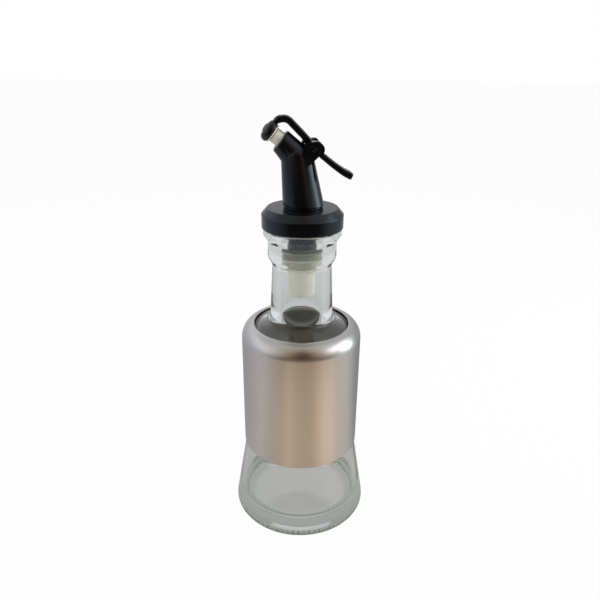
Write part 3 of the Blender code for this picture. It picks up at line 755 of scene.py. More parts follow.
# Look of the plastic, silicone and wire
BLACK_COLOUR = (0.0020, 0.0021, 0.0028)
PIN_COLOUR = (0.006, 0.006, 0.007)
PLASTIC_SHEEN = (0.70, 0.85, 1.0)
CREAM_DARK = (0.64, 0.62, 0.51)
CREAM_LIGHT = (0.72, 0.71, 0.62)
CREAM_PAINTED_SHADE = (0.17, 0.18, 0.15)
CREAM_SHADE_DROP = 0.0015
WIRE_DARK = (0.42, 0.42, 0.43)
WIRE_LIGHT = (0.62, 0.62, 0.63)
WIRE_STRETCH = (1, 6, 1)


def plastic_material(name, colour, roughness):
    """Moulded gloss plastic with faint flow waves and fine handling marks."""
    material, tree, shader = new_material(name)
    place = object_place(tree)
    marks = noise(tree, place, scale=900.0, detail=5.0, rough=0.6)
    flow = noise(tree, place, scale=110.0, detail=2.0, rough=0.5)
    dark = tuple(value * 0.8 for value in colour)
    light = tuple(value * 1.3 for value in colour)
    gloss = {"to_low": roughness * 0.85, "to_high": roughness * 1.25}
    feed(tree, shader, {
        "Base Color": ramp(tree, flow, ((0.35, dark), (0.65, light))),
        "Roughness": spread(tree, marks, low=0.35, high=0.65, **gloss),
        "IOR": 1.5,
        "Specular Tint": rgba(PLASTIC_SHEEN),
        "Normal": bump(tree, flow, strength=0.02, distance=0.0003),
    })
    return material


def silicone_material():
    """Cream silicone with a satin skin, with painted dark grey shade on the stopper's top part,
    round the black pipe inside it.
    """
    material, tree, shader = new_material("cream_silicone_fine")
    place = object_place(tree)
    cloud = noise(tree, place, scale=160.0, detail=3.0, rough=0.5)
    grain = noise(tree, place, scale=2200.0, detail=3.0, rough=0.6)
    colour = ramp(tree, cloud, ((0.30, CREAM_DARK), (0.70, CREAM_LIGHT)))
    z = separated(tree, place)["Z"]
    # Painted shade: dark grey rising from just below the pipe's end to the spigot's end, fading out
    # between the cap's underside and its top
    painted_top_shade = times(
        tree,
        fade(tree, z, PIPE_LOW_Z - CREAM_SHADE_DROP, SPIGOT_LOW_Z),
        fade(tree, z, CAP_TOP_Z, CAP_LOW_Z),
    )
    feed(tree, shader, {
        "Base Color": mixed(tree, painted_top_shade, colour, CREAM_PAINTED_SHADE),
        "Roughness": spread(tree, grain, low=0.3, high=0.7, to_low=0.34, to_high=0.46),
        "Normal": bump(tree, cloud, strength=0.02, distance=0.0002),
    })
    return material


def wire_material():
    """Bright drawn spring wire with fine marks along it."""
    material, tree, shader = new_material("spring_steel_fine")
    place = object_place(tree, WIRE_STRETCH)
    marks = noise(tree, place, scale=1500.0, detail=4.0, rough=0.6)
    feed(tree, shader, {
        "Base Color": ramp(tree, marks, ((0.3, WIRE_DARK), (0.7, WIRE_LIGHT))),
        "Roughness": spread(tree, marks, low=0.3, high=0.7, to_low=0.18, to_high=0.34),
        "Metallic": 1.0,
    })
    return material


GLASS = glass_material()
STEEL = steel_material()
BLACK = plastic_material("black_plastic_fine", BLACK_COLOUR, 0.17)
CREAM = silicone_material()
PIN = plastic_material("pin_plastic_fine", PIN_COLOUR, 0.32)
WIRE = wire_material()


# Bottle

def glass_bottle():
    slope = math.tan(SHOULDER_ANGLE)
    corner_z = SHOULDER_SEAT_Z - (BODY_RADIUS - SLEEVE_MOUTH_RADIUS) * slope
    turn = (math.pi / 2 - SHOULDER_ANGLE) / 2
    shoulder_fillet = (corner_z - SHOULDER_LOW_Z) / math.tan(turn)
    inner_radius = BODY_RADIUS - GLASS_WALL
    inner_drop = GLASS_WALL / math.cos(SHOULDER_ANGLE)
    inner_corner_z = corner_z + GLASS_WALL * slope - inner_drop
    inner_neck_z = NECK_FOOT_Z + (NECK_FOOT_RADIUS - NECK_BORE_RADIUS) * slope - inner_drop
    foot_taper = (FOOT_RADIUS - BODY_RADIUS) / WAIST_Z
    floor_radius = FOOT_RADIUS - foot_taper * FLOOR_EDGE_Z - GLASS_WALL
    corners = [
        (0, PUNT_DEPTH, 0),
        (PUNT_RADIUS, PUNT_EDGE_DEPTH, PUNT_FILLET),
        (BEARING_RADIUS, 0, BEARING_FILLET),
        (FOOT_RADIUS, 0, HEEL_FILLET),
        (BODY_RADIUS, WAIST_Z, WAIST_FILLET),
        (BODY_RADIUS, corner_z, shoulder_fillet),
        (NECK_FOOT_RADIUS, NECK_FOOT_Z, NECK_FOOT_FILLET),
        (NECK_TOP_RADIUS, COLLAR_FOOT_Z, COLLAR_FILLET),
        (COLLAR_RADIUS, COLLAR_LOW_Z, COLLAR_FILLET),
        (COLLAR_RADIUS, COLLAR_TOP_Z, LIP_FILLET),
        (LIP_RADIUS, LIP_LOW_Z, LIP_FILLET),
        (LIP_RADIUS, LIP_TOP_Z, LIP_FILLET),
        (NECK_BORE_RADIUS, LIP_TOP_Z, LIP_FILLET),
        (NECK_BORE_RADIUS, inner_neck_z, BORE_FOOT_FILLET),
        (inner_radius, inner_corner_z, INNER_FILLET),
        (inner_radius, WAIST_Z, WAIST_FILLET),
        (floor_radius, FLOOR_EDGE_Z, FLOOR_FILLET),
        (0, FLOOR_Z, 0),
    ]
    return turned("bottle_glass", outline(corners, False), BODY_STEPS, GLASS, False)


def shoulder_arc(inset):
    """Corners of the sleeve's shoulder, from the mouth down, set in from its outside."""
    points = []
    for step in range(SHOULDER_STEPS + 1):
        turn = math.pi / 2 * (1 - step / SHOULDER_STEPS)
        reach = (SLEEVE_RADIUS - SLEEVE_MOUTH_RADIUS - inset) * math.cos(turn)
        rise = (SLEEVE_SHOULDER_HEIGHT - inset) * math.sin(turn)
        points.append((SLEEVE_MOUTH_RADIUS + reach, SHOULDER_LOW_Z + rise, 0))
    points[0] = (*points[0][:2], SLEEVE_EDGE_FILLET)
    return points


def steel_sleeve():
    low = [
        (SLEEVE_RADIUS, FOOT_HEIGHT, SLEEVE_EDGE_FILLET),
        (SLEEVE_RADIUS - SLEEVE_WALL, FOOT_HEIGHT, SLEEVE_EDGE_FILLET),
    ]
    corners = shoulder_arc(0) + low + shoulder_arc(SLEEVE_WALL)[::-1]
    return turned("sleeve_steel", outline(corners), BODY_STEPS, STEEL)


def cap_flange():
    recess_radius = TENON_RADIUS + FIT_GAP
    recess_z = CAP_TOP_Z - TENON_LENGTH - FIT_GAP
    corners = [
        (recess_radius, CAP_TOP_Z, 0),
        (CAP_TOP_RADIUS, CAP_TOP_Z, CAP_EDGE_FILLET),
        (CAP_RADIUS, CAP_EDGE_Z, CAP_EDGE_FILLET),
        (CAP_RADIUS, CAP_LOW_Z, CAP_LOW_FILLET),
        (SPIGOT_RADIUS, CAP_LOW_Z, 0),
        (SPIGOT_RADIUS, SPIGOT_LOW_Z, 0),
        (PIPE_RADIUS, SPIGOT_LOW_Z, 0),
        (PIPE_RADIUS, PIPE_LOW_Z, 0),
        (TUBE_HOLE_RADIUS, PIPE_LOW_Z, 0),
        (TUBE_HOLE_RADIUS, recess_z, 0),
        (recess_radius, recess_z, 0),
    ]
    return turned("cap_black", outline(corners), CAP_STEPS, BLACK)


def ribbed_stopper():
    rib_radius = NECK_BORE_RADIUS - FIT_GAP
    corners = [(STOPPER_RADIUS, STOPPER_TOP_Z, RIB_FILLET)]
    for index in range(RIB_COUNT):
        top = STOPPER_TOP_Z - RIB_FIRST_DEPTH - index * RIB_PITCH + RIB_THICKNESS / 2
        low = top - RIB_THICKNESS
        corners += [(STOPPER_RADIUS, top, RIB_FILLET), (rib_radius, top, RIB_FILLET)]
        corners += [(rib_radius, low, RIB_FILLET), (STOPPER_RADIUS, low, RIB_FILLET)]
    seat_z = PIPE_LOW_Z - FIT_GAP
    corners += [
        (STOPPER_RADIUS, STOPPER_LOW_Z, RIB_FILLET),
        (TUBE_HOLE_RADIUS, STOPPER_LOW_Z, 0),
        (TUBE_HOLE_RADIUS, seat_z, 0),
        (PIPE_RADIUS + FIT_GAP, seat_z, 0),
        (PIPE_RADIUS + FIT_GAP, STOPPER_TOP_Z, 0),
    ]
    return turned("stopper_cream", outline(corners), SMALL_STEPS, CREAM)


# Spout

def neighbours(line, index):
    return line[max(index - 1, 0)], line[min(index + 1, len(line) - 1)]


def tube_path(radius):
    """Stations of a tube from the stopper's low end up through the stem to the nozzle's seat."""
    bend = NOZZLE_SEAT - NOZZLE_AIM * TUBE_RUN
    corners = [
        (0, CAP_TOP_Z - TUBE_DROP, 0),
        (0, CAP_TOP_Z + TUBE_LEAN_RISE, TUBE_LEAN_FILLET),
        (bend.x, bend.z, TUBE_BEND_FILLET),
        (NOZZLE_SEAT.x, NOZZLE_SEAT.z, 0),
    ]
    places = [at(point.x, point.y) for point in outline(corners, False)]
    places[-1] = NOZZLE_SEAT - NOZZLE_AIM * NOZZLE_SEAT_DEPTH
    stations = []
    for index, place in enumerate(places):
        before, after = neighbours(places, index)
        stations.append((place, (after - before).normalized(), radius))
    return stations


def pour_tube():
    path = tube_path(TUBE_RADIUS)
    seat = path[-1][0] + NOZZLE_AIM * FIT_GAP
    end = NOZZLE_SEAT + NOZZLE_AIM * NOZZLE_LENGTH
    outer = path[:-1] + [(seat, NOZZLE_AIM, TUBE_RADIUS), (seat, NOZZLE_AIM, NOZZLE_RADIUS)]
    outer += rim(end, NOZZLE_AIM, NOZZLE_RADIUS, NOZZLE_FILLET)
    inner = tube_path(TUBE_BORE_RADIUS)[:-1] + [(end, NOZZLE_AIM, TUBE_BORE_RADIUS)]
    shape = bmesh.new()
    outer_ends = skinned(shape, rings_at(shape, outer, TUBE_SIDES))
    inner_ends = skinned(shape, rings_at(shape, inner, TUBE_SIDES))
    for outer_end, inner_end in zip(outer_ends, inner_ends):
        bridge(shape, outer_end, inner_end)
    return add_object("tube_cream", shape, CREAM)


def tube_cutter():
    path = tube_path(TUBE_HOLE_RADIUS)
    seat = path[-1][0]
    seat_radius = NOZZLE_RADIUS + FIT_GAP
    outside = NOZZLE_SEAT + NOZZLE_AIM * CUT_OVERRUN
    stations = path + [(seat, NOZZLE_AIM, seat_radius), (outside, NOZZLE_AIM, seat_radius)]
    return lofted("tube_hole", stations, TUBE_SIDES)


def stem_core():
    foot = at(STEM_OFFSET, STEM_LOW_Z)
    crown = at(STEM_OFFSET - STEM_LEAN, CAP_TOP_Z + STEM_HEIGHT)
    stations = [
        (UP * (CAP_TOP_Z - TENON_LENGTH), UP, TENON_RADIUS),
        (UP * STEM_SEAT_Z, UP, TENON_RADIUS),
        (at(STEM_OFFSET, STEM_SEAT_Z), UP, STEM_FOOT_RADIUS),
        (foot, UP, STEM_FOOT_RADIUS),
        (foot, UP, STEM_RADIUS - STEM_CHAMFER),
        (foot + UP * STEM_CHAMFER, UP, STEM_RADIUS),
        (crown, UP, STEM_CROWN_RADIUS),
    ]
    for step in range(1, DOME_STEPS + 1):
        turn = math.pi / 2 * step / (DOME_STEPS + 0.5)
        rise = UP * (STEM_DOME_HEIGHT * math.sin(turn))
        stations.append((crown + rise, UP, STEM_CROWN_RADIUS * math.cos(turn)))
    return lofted("spout_black", stations, HEAD_STEPS, BLACK)


def deck_cutter():
    reach = aim(DECK_ANGLE) * STEM_HEIGHT
    low = DECK - reach
    high = DECK + reach
    top_z = high.z + STEM_HEIGHT
    points = [(high.x, high.z), (low.x, low.z), (low.x, top_z), (high.x, top_z)]
    return extruded("deck_cut", points, YOKE_WIDTH)


def spout_head():
    stations = [(HEAD_ROOT, NOZZLE_AIM, HEAD_ROOT_RADIUS)]
    stations += rim(HEAD_CENTRE, NOZZLE_AIM, HEAD_RADIUS, HEAD_FILLET)
    return lofted("spout_head", stations, HEAD_STEPS)


def ear(name, low, high):
    root_x = PIVOT.x - EAR_ROOT_WIDTH
    root_z = PIVOT.z - EAR_ROOT_LENGTH
    front_z = PIVOT.z - EAR_RADIUS / 2
    corners = [
        (PIVOT.x - EAR_FRONT_TOP_REACH, PIVOT.z + EAR_FRONT_RISE, EAR_FRONT_FILLET),
        (PIVOT.x + EAR_RADIUS, PIVOT.z + EAR_TOP_RISE, EAR_TOP_FILLET),
        (PIVOT.x + EAR_RADIUS, front_z, EAR_RADIUS / 2),
        (root_x, root_z, 0),
        (root_x - EAR_ROOT_WIDTH, root_z + EAR_RADIUS, 0),
        (PIVOT.x - EAR_FRONT_REACH, front_z, 0),
    ]
    return extruded(name, outline(corners), high, low)


def spout_stem():
    item = stem_core()
    slot = YOKE_SLOT_WIDTH / 2
    half = YOKE_WIDTH / 2
    pocket = circle(PIVOT, POCKET_RADIUS, CAP_STEPS)
    pin_hole = circle(PIVOT, HOLE_RADIUS, PIN_SIDES)
    cut(item, deck_cutter())
    join(item, spout_head(), ear("near_ear", -half, -slot), ear("far_ear", slot, half))
    cut(item, extruded("knuckle_pocket", pocket, slot), tube_cutter())
    cut(item, extruded("pin_hole", pin_hole, YOKE_WIDTH))
    smooth(item.data)
    return item


def pivot_pin():
    half = YOKE_WIDTH / 2 - PIN_INSET
    end = rim(SIDE * half, SIDE, PIN_RADIUS, PIN_FILLET)
    sections = [(-place.y, radius) for place, _, radius in reversed(end)]
    sections += [(place.y, radius) for place, _, radius in end]
    shape = bmesh.new()
    rings = []
    for y, radius in sections:
        points = circle(PIVOT, radius, PIN_SIDES)
        rings.append([shape.verts.new((point.x, y, point.y)) for point in points])
    return closed_off("pin_black", shape, rings, PIN)


# Lever

def smooth_line(points, per_span):
    """Catmull-Rom line through tuples of numbers."""
    line = []
    for index in range(len(points) - 1):
        p0 = points[max(index - 1, 0)]
        p1 = points[index]
        p2 = points[index + 1]
        p3 = points[min(index + 2, len(points) - 1)]
        for step in range(per_span):
            t = step / per_span
            line.append(tuple(
                0.5 * (2 * b + (c - a) * t + (2 * a - 5 * b + 4 * c - d) * t * t
                       + (3 * b - a - 3 * c + d) * t ** 3)
                for a, b, c, d in zip(p0, p1, p2, p3)
            ))
    line.append(points[-1])
    return line


def lever_stations():
    """X, Z, thickness and width of the lever's sections, from the arm's end to the tail's."""
    arm = (-ARM_REACH, ARM_RISE, ARM_THICKNESS, ARM_WIDTH)
    tail = (TAIL_REACH, -TAIL_DROP, TAIL_THICKNESS, TAIL_WIDTH)
    stations = []
    for shares, whole in ((ARM_SHARES, arm), (TAIL_SHARES, tail)):
        for section in shares:
            reach, rise, thickness, width = (share * full for share, full in zip(section, whole))
            place = PIVOT + at(reach, rise)
            stations.append((place.x, place.z, thickness, width))
    return stations


def bar_section(shape, place, along, thickness, width):
    """Ring of a rectangle with round corners."""
    up = along.cross(SIDE).normalized()
    fillet = min(LEVER_EDGE_FILLET, thickness / 2 - WELD_DISTANCE)
    verts = []
    for quarter, (up_sign, side_sign) in enumerate(((1, 1), (-1, 1), (-1, -1), (1, -1))):
        for step in range(BAR_STEPS + 1):
            turn = math.pi / 2 * (quarter + step / BAR_STEPS)
            rise = up_sign * (thickness / 2 - fillet) + fillet * math.cos(turn)
            reach = side_sign * (width / 2 - fillet) + fillet * math.sin(turn)
            verts.append(shape.verts.new(place + up * rise + SIDE * reach))
    return verts


def lever_bar():
    shape = bmesh.new()
    stations = smooth_line(lever_stations(), BAR_POINTS)
    rings = []
    for index, (x, z, thickness, width) in enumerate(stations):
        before, after = neighbours(stations, index)
        along = at(after[0] - before[0], after[1] - before[1]).normalized()
        rings.append(bar_section(shape, at(x, z), along, thickness, width))
    return closed_off("lever_black", shape, rings, BLACK)


def knuckle():
    hump = PIVOT + at(HUMP_REACH, -HUMP_DROP)
    points = hull(PIVOT, hump, KNUCKLE_RADIUS, CAP_STEPS)
    return extruded("knuckle", points, KNUCKLE_WIDTH / 2)


def spring_slot():
    low = PIVOT - at(0, KNUCKLE_RADIUS + CUT_OVERRUN)
    points = hull(PIVOT, low, SPRING_SLOT_RADIUS, SMALL_STEPS)
    return extruded("spring_slot", points, SPRING_SLOT_WIDTH / 2)


def fork_slot():
    half = TAB_WIDTH / 2 + FIT_GAP
    inner = TAB_END.x + FIT_GAP
    outer = PIVOT.x - ARM_REACH - CUT_OVERRUN
    top = PIVOT.z + ARM_RISE + CUT_OVERRUN
    low = TAB_END.z - CUT_OVERRUN
    points = [(outer, low), (inner, low), (inner, top), (outer, top)]
    return extruded("fork_slot", points, half)


def lid_room():
    radius = LID_RADIUS + FIT_GAP
    front = LID_FRONT - NOZZLE_AIM * CUT_OVERRUN
    back = LID_BACK + NOZZLE_AIM * CUT_OVERRUN
    return lofted("lid_room", [(front, NOZZLE_AIM, radius), (back, NOZZLE_AIM, radius)], CAP_STEPS)


def lever():
    item = lever_bar()
    bore = circle(PIVOT, HOLE_RADIUS, PIN_SIDES)
    join(item, knuckle())
    cut(item, spring_slot(), extruded("lever_bore", bore, KNUCKLE_WIDTH))
    cut(item, fork_slot(), lid_room())
    smooth(item.data)
    return item


# Lid and seal

def lid_tab():
    half = at(0, TAB_THICKNESS / 2)
    corners = (TAB_START - half, TAB_END - half, TAB_END + half, TAB_START + half)
    points = [(corner.x, corner.z) for corner in corners]
    return extruded("lid_tab", points, TAB_WIDTH / 2)


def disc(front, back, radius, front_fillet, back_fillet):
    """Stations of a disc that lies square to the nozzle."""
    start = rim(front, -NOZZLE_AIM, radius, front_fillet)
    stations = [(place, NOZZLE_AIM, reach) for place, _, reach in reversed(start)]
    return stations + rim(back, NOZZLE_AIM, radius, back_fillet)


def lid():
    stations = disc(LID_FRONT, LID_BACK, LID_RADIUS, LID_FRONT_FILLET, LID_BACK_FILLET)
    flat = LID_RADIUS - LID_BACK_FILLET
    for share in LID_DOME_SHARES:
        rise = LID_DOME * (1 - share * share)
        stations.append((LID_BACK + NOZZLE_AIM * rise, NOZZLE_AIM, flat * share))
    item = lofted("lid_black", stations, SMALL_STEPS, BLACK)
    join(item, lid_tab())
    smooth(item.data)
    return item


def lid_seal():
    back = SEAL_FRONT + NOZZLE_AIM * SEAL_THICKNESS
    stations = disc(SEAL_FRONT, back, SEAL_RADIUS, SEAL_FILLET, SEAL_FILLET)
    return lofted("seal_cream", stations, SMALL_STEPS, CREAM)


# Spring

def spring_points():
    """Middle line of the wire from the low leg's end to the high leg's."""
    reach, drop = TAIL_SHARES[1][:2]
    tail_angle = math.atan2(-drop * TAIL_DROP, reach * TAIL_REACH)
    sweep = tail_angle - math.pi / 2 - SPRING_LOW_ANGLE + 2 * math.pi * (SPRING_CURLS + 1)
    count = round(sweep / (2 * math.pi) * CURL_POINTS)
    turns = [SPRING_LOW_ANGLE + sweep * index / count for index in range(count + 1)]
    middle = SPRING_LOW_ANGLE + sweep / 2
    points = []
    for turn in turns:
        out = at(math.cos(turn), math.sin(turn)) * SPRING_RADIUS
        travel = SPRING_PITCH * (turn - middle) / (2 * math.pi)
        points.append(PIVOT + out + SIDE * travel)
    floor = POCKET_RADIUS - FIT_GAP - SPRING_WIRE / 2
    low_leg = math.sqrt(floor * floor - SPRING_RADIUS * SPRING_RADIUS)
    first_end = points[0] - across(-turns[0]) * low_leg
    last_end = points[-1] + across(-turns[-1]) * SPRING_HIGH_LEG
    return [first_end] + points + [last_end]


def return_spring():
    """Wire drawn as a curve with a round section and kept as a mesh."""
    points = spring_points()
    curve = bpy.data.curves.new("spring_wire", "CURVE")
    curve.dimensions = "3D"
    curve.bevel_depth = SPRING_WIRE / 2
    curve.bevel_resolution = WIRE_STEPS
    curve.use_fill_caps = True
    spline = curve.splines.new("POLY")
    spline.points.add(len(points) - 1)
    for point, place in zip(spline.points, points):
        point.co = (*place, 1)
    curve.materials.append(WIRE)
    drawn = link_object("spring_wire", curve)
    mesh = evaluated_mesh(drawn)
    mesh.shade_smooth()
    bpy.data.objects.remove(drawn, do_unlink=True)
    return link_object("spring_wire", mesh)


# Bodies that the pieces move with

def dress(node_name):
    """Puts an item in place of its CAD node."""
    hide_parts(node_name)


def ride(item, body, node_name):
    """Moves an item with a body."""
    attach(item, body)
    dress(node_name)


def wind(item, node_name):
    """Bakes the spring's place into its mesh and hides its CAD node; the spring rides with no body.
    """
    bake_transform(item)
    dress(node_name)


ride(glass_bottle(), "bottle", "glass_bottle")
ride(steel_sleeve(), "bottle", "steel_sleeve")
ride(ribbed_stopper(), "stopper", "ribbed_stopper")
ride(cap_flange(), "pourer", "cap_flange")
ride(spout_stem(), "pourer", "spout_stem")
ride(pour_tube(), "pourer", "pour_tube")
ride(pivot_pin(), "pourer", "pivot_pin")
wind(return_spring(), "return_spring")
ride(lever(), "lever", "lever")
ride(lid(), "lever", "lid")
ride(lid_seal(), "lever", "lid_seal")


# Studio

DEGREES = 180 / math.pi
WHITE = (1.0, 1.0, 1.0)

# Colours round the room and the floor: turn in degrees, then red, green and blue
ROOM_LOW = (
    (-180, 0.56, 0.57, 0.59),
    (-150, 0.60, 0.60, 0.63),
    (-120, 0.60, 0.59, 0.64),
    (-80, 0.98, 0.96, 0.95),
    (-45, 0.56, 0.46, 0.39),
    (-26, 0.30, 0.18, 0.10),
    (-9, 0.10, 0.045, 0.020),
    (9, 0.10, 0.045, 0.020),
    (26, 0.36, 0.24, 0.15),
    (45, 0.56, 0.48, 0.39),
    (72, 1.08, 1.03, 0.96),
    (110, 0.52, 0.52, 0.52),
    (145, 0.38, 0.38, 0.39),
)
ROOM_HIGH = (
    (-180, 0.78, 0.79, 0.81),
    (-140, 0.86, 0.86, 0.88),
    (-110, 1.02, 1.02, 1.04),
    (-72, 0.95, 0.94, 0.93),
    (-45, 0.60, 0.52, 0.45),
    (-26, 0.40, 0.26, 0.15),
    (-8, 0.10, 0.045, 0.015),
    (8, 0.10, 0.045, 0.015),
    (26, 0.50, 0.37, 0.25),
    (45, 0.70, 0.62, 0.54),
    (80, 0.95, 0.97, 0.97),
    (140, 0.50, 0.50, 0.51),
)
ROOM_CREST = (
    (-180, 0.54, 0.54, 0.54),
    (-125, 0.60, 0.60, 0.61),
    (-80, 0.62, 0.61, 0.60),
    (-26, 0.56, 0.42, 0.30),
    (-6, 0.32, 0.23, 0.16),
    (6, 0.32, 0.23, 0.16),
    (26, 0.64, 0.50, 0.39),
    (80, 0.80, 0.79, 0.77),
    (125, 0.54, 0.54, 0.55),
)
FLOOR_OUT = (
    (-180, 0.80, 0.81, 0.83),
    (-150, 0.56, 0.56, 0.60),
    (-125, 0.52, 0.52, 0.59),
    (-100, 0.57, 0.57, 0.62),
    (-75, 0.52, 0.51, 0.53),
    (-40, 0.040, 0.032, 0.030),
    (40, 0.040, 0.032, 0.030),
    (70, 0.56, 0.54, 0.52),
    (95, 0.50, 0.56, 0.58),
    (120, 0.36, 0.40, 0.41),
    (150, 0.40, 0.41, 0.42),
)
TABLE_ROUND = (
    (-180, 0.32, 0.32, 0.33),
    (-150, 0.36, 0.36, 0.39),
    (-118, 0.46, 0.44, 0.44),
    (-80, 0.66, 0.60, 0.56),
    (-60, 0.59, 0.52, 0.46),
    (-38, 0.67, 0.50, 0.37),
    (-25, 0.84, 0.63, 0.44),
    (-10, 0.69, 0.51, 0.35),
    (14, 0.67, 0.48, 0.325),
    (36, 1.02, 0.77, 0.56),
    (50, 1.00, 0.80, 0.64),
    (65, 0.75, 0.64, 0.55),
    (80, 0.70, 0.63, 0.57),
    (97, 0.58, 0.53, 0.49),
    (112, 0.36, 0.34, 0.33),
    (145, 0.22, 0.22, 0.23),
)
ROOM_TOP = (0.60, 0.56, 0.50)
ROOM_SOFT = (0.62, 0.62, 0.62)
ROOM_THROUGH = (0.84, 0.86, 0.87)

# Heights in degrees over which one ring of the room passes into the next
RISE_TO_HIGH = (8.0, 30.0)
RISE_TO_CREST = (32.0, 50.0)
RISE_TO_TOP = (58.0, 84.0)

# Windows: their first and last turn or rise in degrees, with the softness of the edge
LOW_WINDOW_COLOUR = (3.2, 3.5, 3.5)
LOW_WINDOW_TURNS = (76.0, 102.0, 7.0)
LOW_WINDOW_RISES = (-8.0, 18.0, 5.0)
HIGH_WINDOW_COLOUR = (2.3, 2.4, 2.4)
HIGH_WINDOW_TURNS = (52.0, 104.0, 12.0)
HIGH_WINDOW_RISES = (16.0, 41.0, 5.0)

# Floor: its colours, and the reaches over which they pass into one another
FLOOR_SIZE = 6.0
FLOOR_LIT = (0.62, 0.62, 0.60)
FLOOR_GLOW_SHARE = 0.96
FLOOR_CLOSE = (0.36, 0.38, 0.37)
FLOOR_NEAR = (0.51, 0.515, 0.505)
FLOOR_FAR = (0.80, 0.82, 0.83)
REACH_TO_TABLE = (0.052, 0.072)
REACH_TO_OUT = (0.27, 0.36)
REACH_TO_FAR = (0.10, 0.70)
REACH_TO_WINDOW = (0.9, 1.4)

# Lamps: name, place, target, size, power and colour
LAMPS = (
    ("right", (0.52, 0.05, 0.45), (0, 0, 0.15), (0.40, 0.40), 3.0, (0.96, 0.99, 1.0)),
    ("left", (-0.60, 0.10, 0.45), (0, 0, 0.15), (0.40, 0.50), 1.2, (0.95, 0.96, 1.0)),
    ("top", (0.0, 0.15, 1.1), (0, 0, 0.1), (0.6, 0.6), 3.0, (1, 1, 1)),
)

# Camera
CAMERA_TURN = math.radians(5.0)
CAMERA_DISTANCE = 0.27685
CAMERA_HEIGHT = 0.24695
CAMERA_SHIFT = -0.000834
CAMERA_PITCH = math.radians(23.307)
CAMERA_ROLL = math.radians(0.544)
CAMERA_LENS = 34.2
CAMERA_SENSOR = 36.0
CAMERA_NEAREST = 0.01


def bearing(tree, x, y):
    """Degrees round the bottle: 0 is the front and 90 the right."""
    return times(tree, calculate(tree, "ARCTAN2", x, times(tree, y, -1.0)), DEGREES)


def around(tree, turn, stops):
    """Colours round the bottle, which end behind it with the one that they begin with."""
    ring = [*stops, (180, *stops[0][1:])]
    share = fade(tree, turn, -180.0, 180.0)
    return ramp(tree, share, [((degrees + 180) / 360, tuple(rgb)) for degrees, *rgb in ring])


def through_glass(tree, path):
    return calculate(tree, "GREATER_THAN", path.outputs["Transmission Depth"], 0.5)


def world():
    """White to the camera and pale through glass; gloss and metal see a room with a dark front."""
    item = bpy.data.worlds.new("studio")
    bpy.context.scene.world = item
    item.use_nodes = True
    tree = item.node_tree
    x, y, z = separated(tree, node(tree, "ShaderNodeTexCoord").outputs["Generated"])
    turn = bearing(tree, x, y)
    rise = times(tree, calculate(tree, "ARCSINE", z), DEGREES)
    low_window = (band(tree, turn, *LOW_WINDOW_TURNS), band(tree, rise, *LOW_WINDOW_RISES))
    high_window = (band(tree, turn, *HIGH_WINDOW_TURNS), band(tree, rise, *HIGH_WINDOW_RISES))
    room = layered(tree, around(tree, turn, ROOM_LOW), (
        (fade(tree, rise, *RISE_TO_HIGH), around(tree, turn, ROOM_HIGH)),
        (fade(tree, rise, *RISE_TO_CREST), around(tree, turn, ROOM_CREST)),
        (fade(tree, rise, *RISE_TO_TOP), ROOM_TOP),
        (times(tree, *low_window), LOW_WINDOW_COLOUR),
        (times(tree, *high_window), HIGH_WINDOW_COLOUR),
    ))
    path = node(tree, "ShaderNodeLightPath")
    seen = layered(tree, room, (
        (path.outputs["Is Diffuse Ray"], ROOM_SOFT),
        (through_glass(tree, path), ROOM_THROUGH),
        (path.outputs["Is Camera Ray"], WHITE),
    ))
    feed(tree, tree.nodes["Background"], {"Color": seen, "Strength": 1.0})


def floor_colour(tree, path):
    """White to the camera, pale through glass, and to gloss a warm table in a pale room."""
    place = object_place(tree)
    x, y = separated(tree, place)[:2]
    turn = bearing(tree, x, y)
    length = node(tree, "ShaderNodeVectorMath", {0: place}, operation="LENGTH")
    reach = length.outputs["Value"]
    window = (band(tree, turn, *LOW_WINDOW_TURNS), fade(tree, reach, *REACH_TO_WINDOW))
    pale = mixed(tree, fade(tree, reach, *REACH_TO_FAR), FLOOR_NEAR, FLOOR_FAR)
    shiny = layered(tree, FLOOR_CLOSE, (
        (fade(tree, reach, *REACH_TO_TABLE), around(tree, turn, TABLE_ROUND)),
        (fade(tree, reach, *REACH_TO_OUT), around(tree, turn, FLOOR_OUT)),
        (times(tree, *window), LOW_WINDOW_COLOUR),
    ))
    return layered(tree, pale, (
        (path.outputs["Is Glossy Ray"], shiny),
        (through_glass(tree, path), pale),
        (path.outputs["Is Camera Ray"], WHITE),
    ))


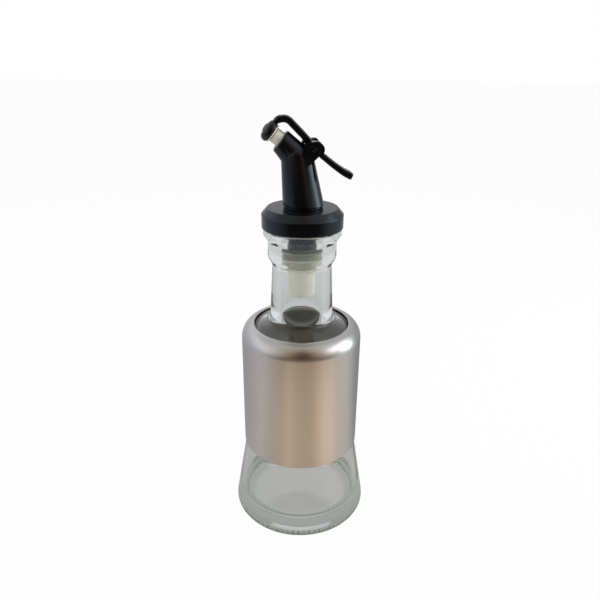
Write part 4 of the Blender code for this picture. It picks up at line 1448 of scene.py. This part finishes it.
def floor():
    """A white sheet that keeps a faint shadow."""
    material, tree, shader = new_material("studio_floor")
    path = node(tree, "ShaderNodeLightPath")
    feed(tree, shader, {
        "Base Color": rgba(FLOOR_LIT), "Roughness": 0.9, "Specular IOR Level": 0.0,
    })
    glow = node(
        tree, "ShaderNodeEmission", {"Color": floor_colour(tree, path), "Strength": 1.0},
    )
    seen = path.outputs["Is Camera Ray"]
    for ray in ("Is Glossy Ray", "Is Transmission Ray"):
        seen = calculate(tree, "MAXIMUM", seen, path.outputs[ray])
    share = times(tree, seen, FLOOR_GLOW_SHARE)
    show(tree, share, shader.outputs["BSDF"], glow.outputs["Emission"])
    shape = bmesh.new()
    bmesh.ops.create_grid(shape, x_segments=1, y_segments=1, size=FLOOR_SIZE)
    add_object("studio_floor", shape, material)


def lamp(name, place, target, size, power, colour):
    """Soft lamp that no camera, gloss or glass sees."""
    data = bpy.data.lights.new(name, "AREA")
    data.shape = "RECTANGLE"
    data.size, data.size_y = size
    data.energy = power
    data.color = colour
    item = link_object(name, data)
    item.location = place
    item.rotation_euler = (Vector(target) - Vector(place)).to_track_quat("-Z", "Y").to_euler()
    item.visible_camera = False
    item.visible_glossy = False
    item.visible_transmission = False


def camera():
    data = bpy.data.cameras.new("main")
    data.sensor_width = CAMERA_SENSOR
    data.lens = CAMERA_LENS
    data.clip_start = CAMERA_NEAREST
    item = link_object("main", data)
    right = Vector((math.cos(CAMERA_TURN), -math.sin(CAMERA_TURN), 0))
    ahead = Vector((math.sin(CAMERA_TURN), math.cos(CAMERA_TURN), 0))
    item.location = right * CAMERA_SHIFT - ahead * CAMERA_DISTANCE + UP * CAMERA_HEIGHT
    look = ahead * math.cos(CAMERA_PITCH) - UP * math.sin(CAMERA_PITCH)
    turn = look.to_track_quat("-Z", "Y").to_matrix().to_4x4()
    item.rotation_euler = (turn @ Matrix.Rotation(CAMERA_ROLL, 4, "Z")).to_euler()
    bpy.context.scene.camera = item


world()
floor()
for values in LAMPS:
    lamp(*values)
camera()
bpy.context.scene.view_settings.view_transform = "Standard"
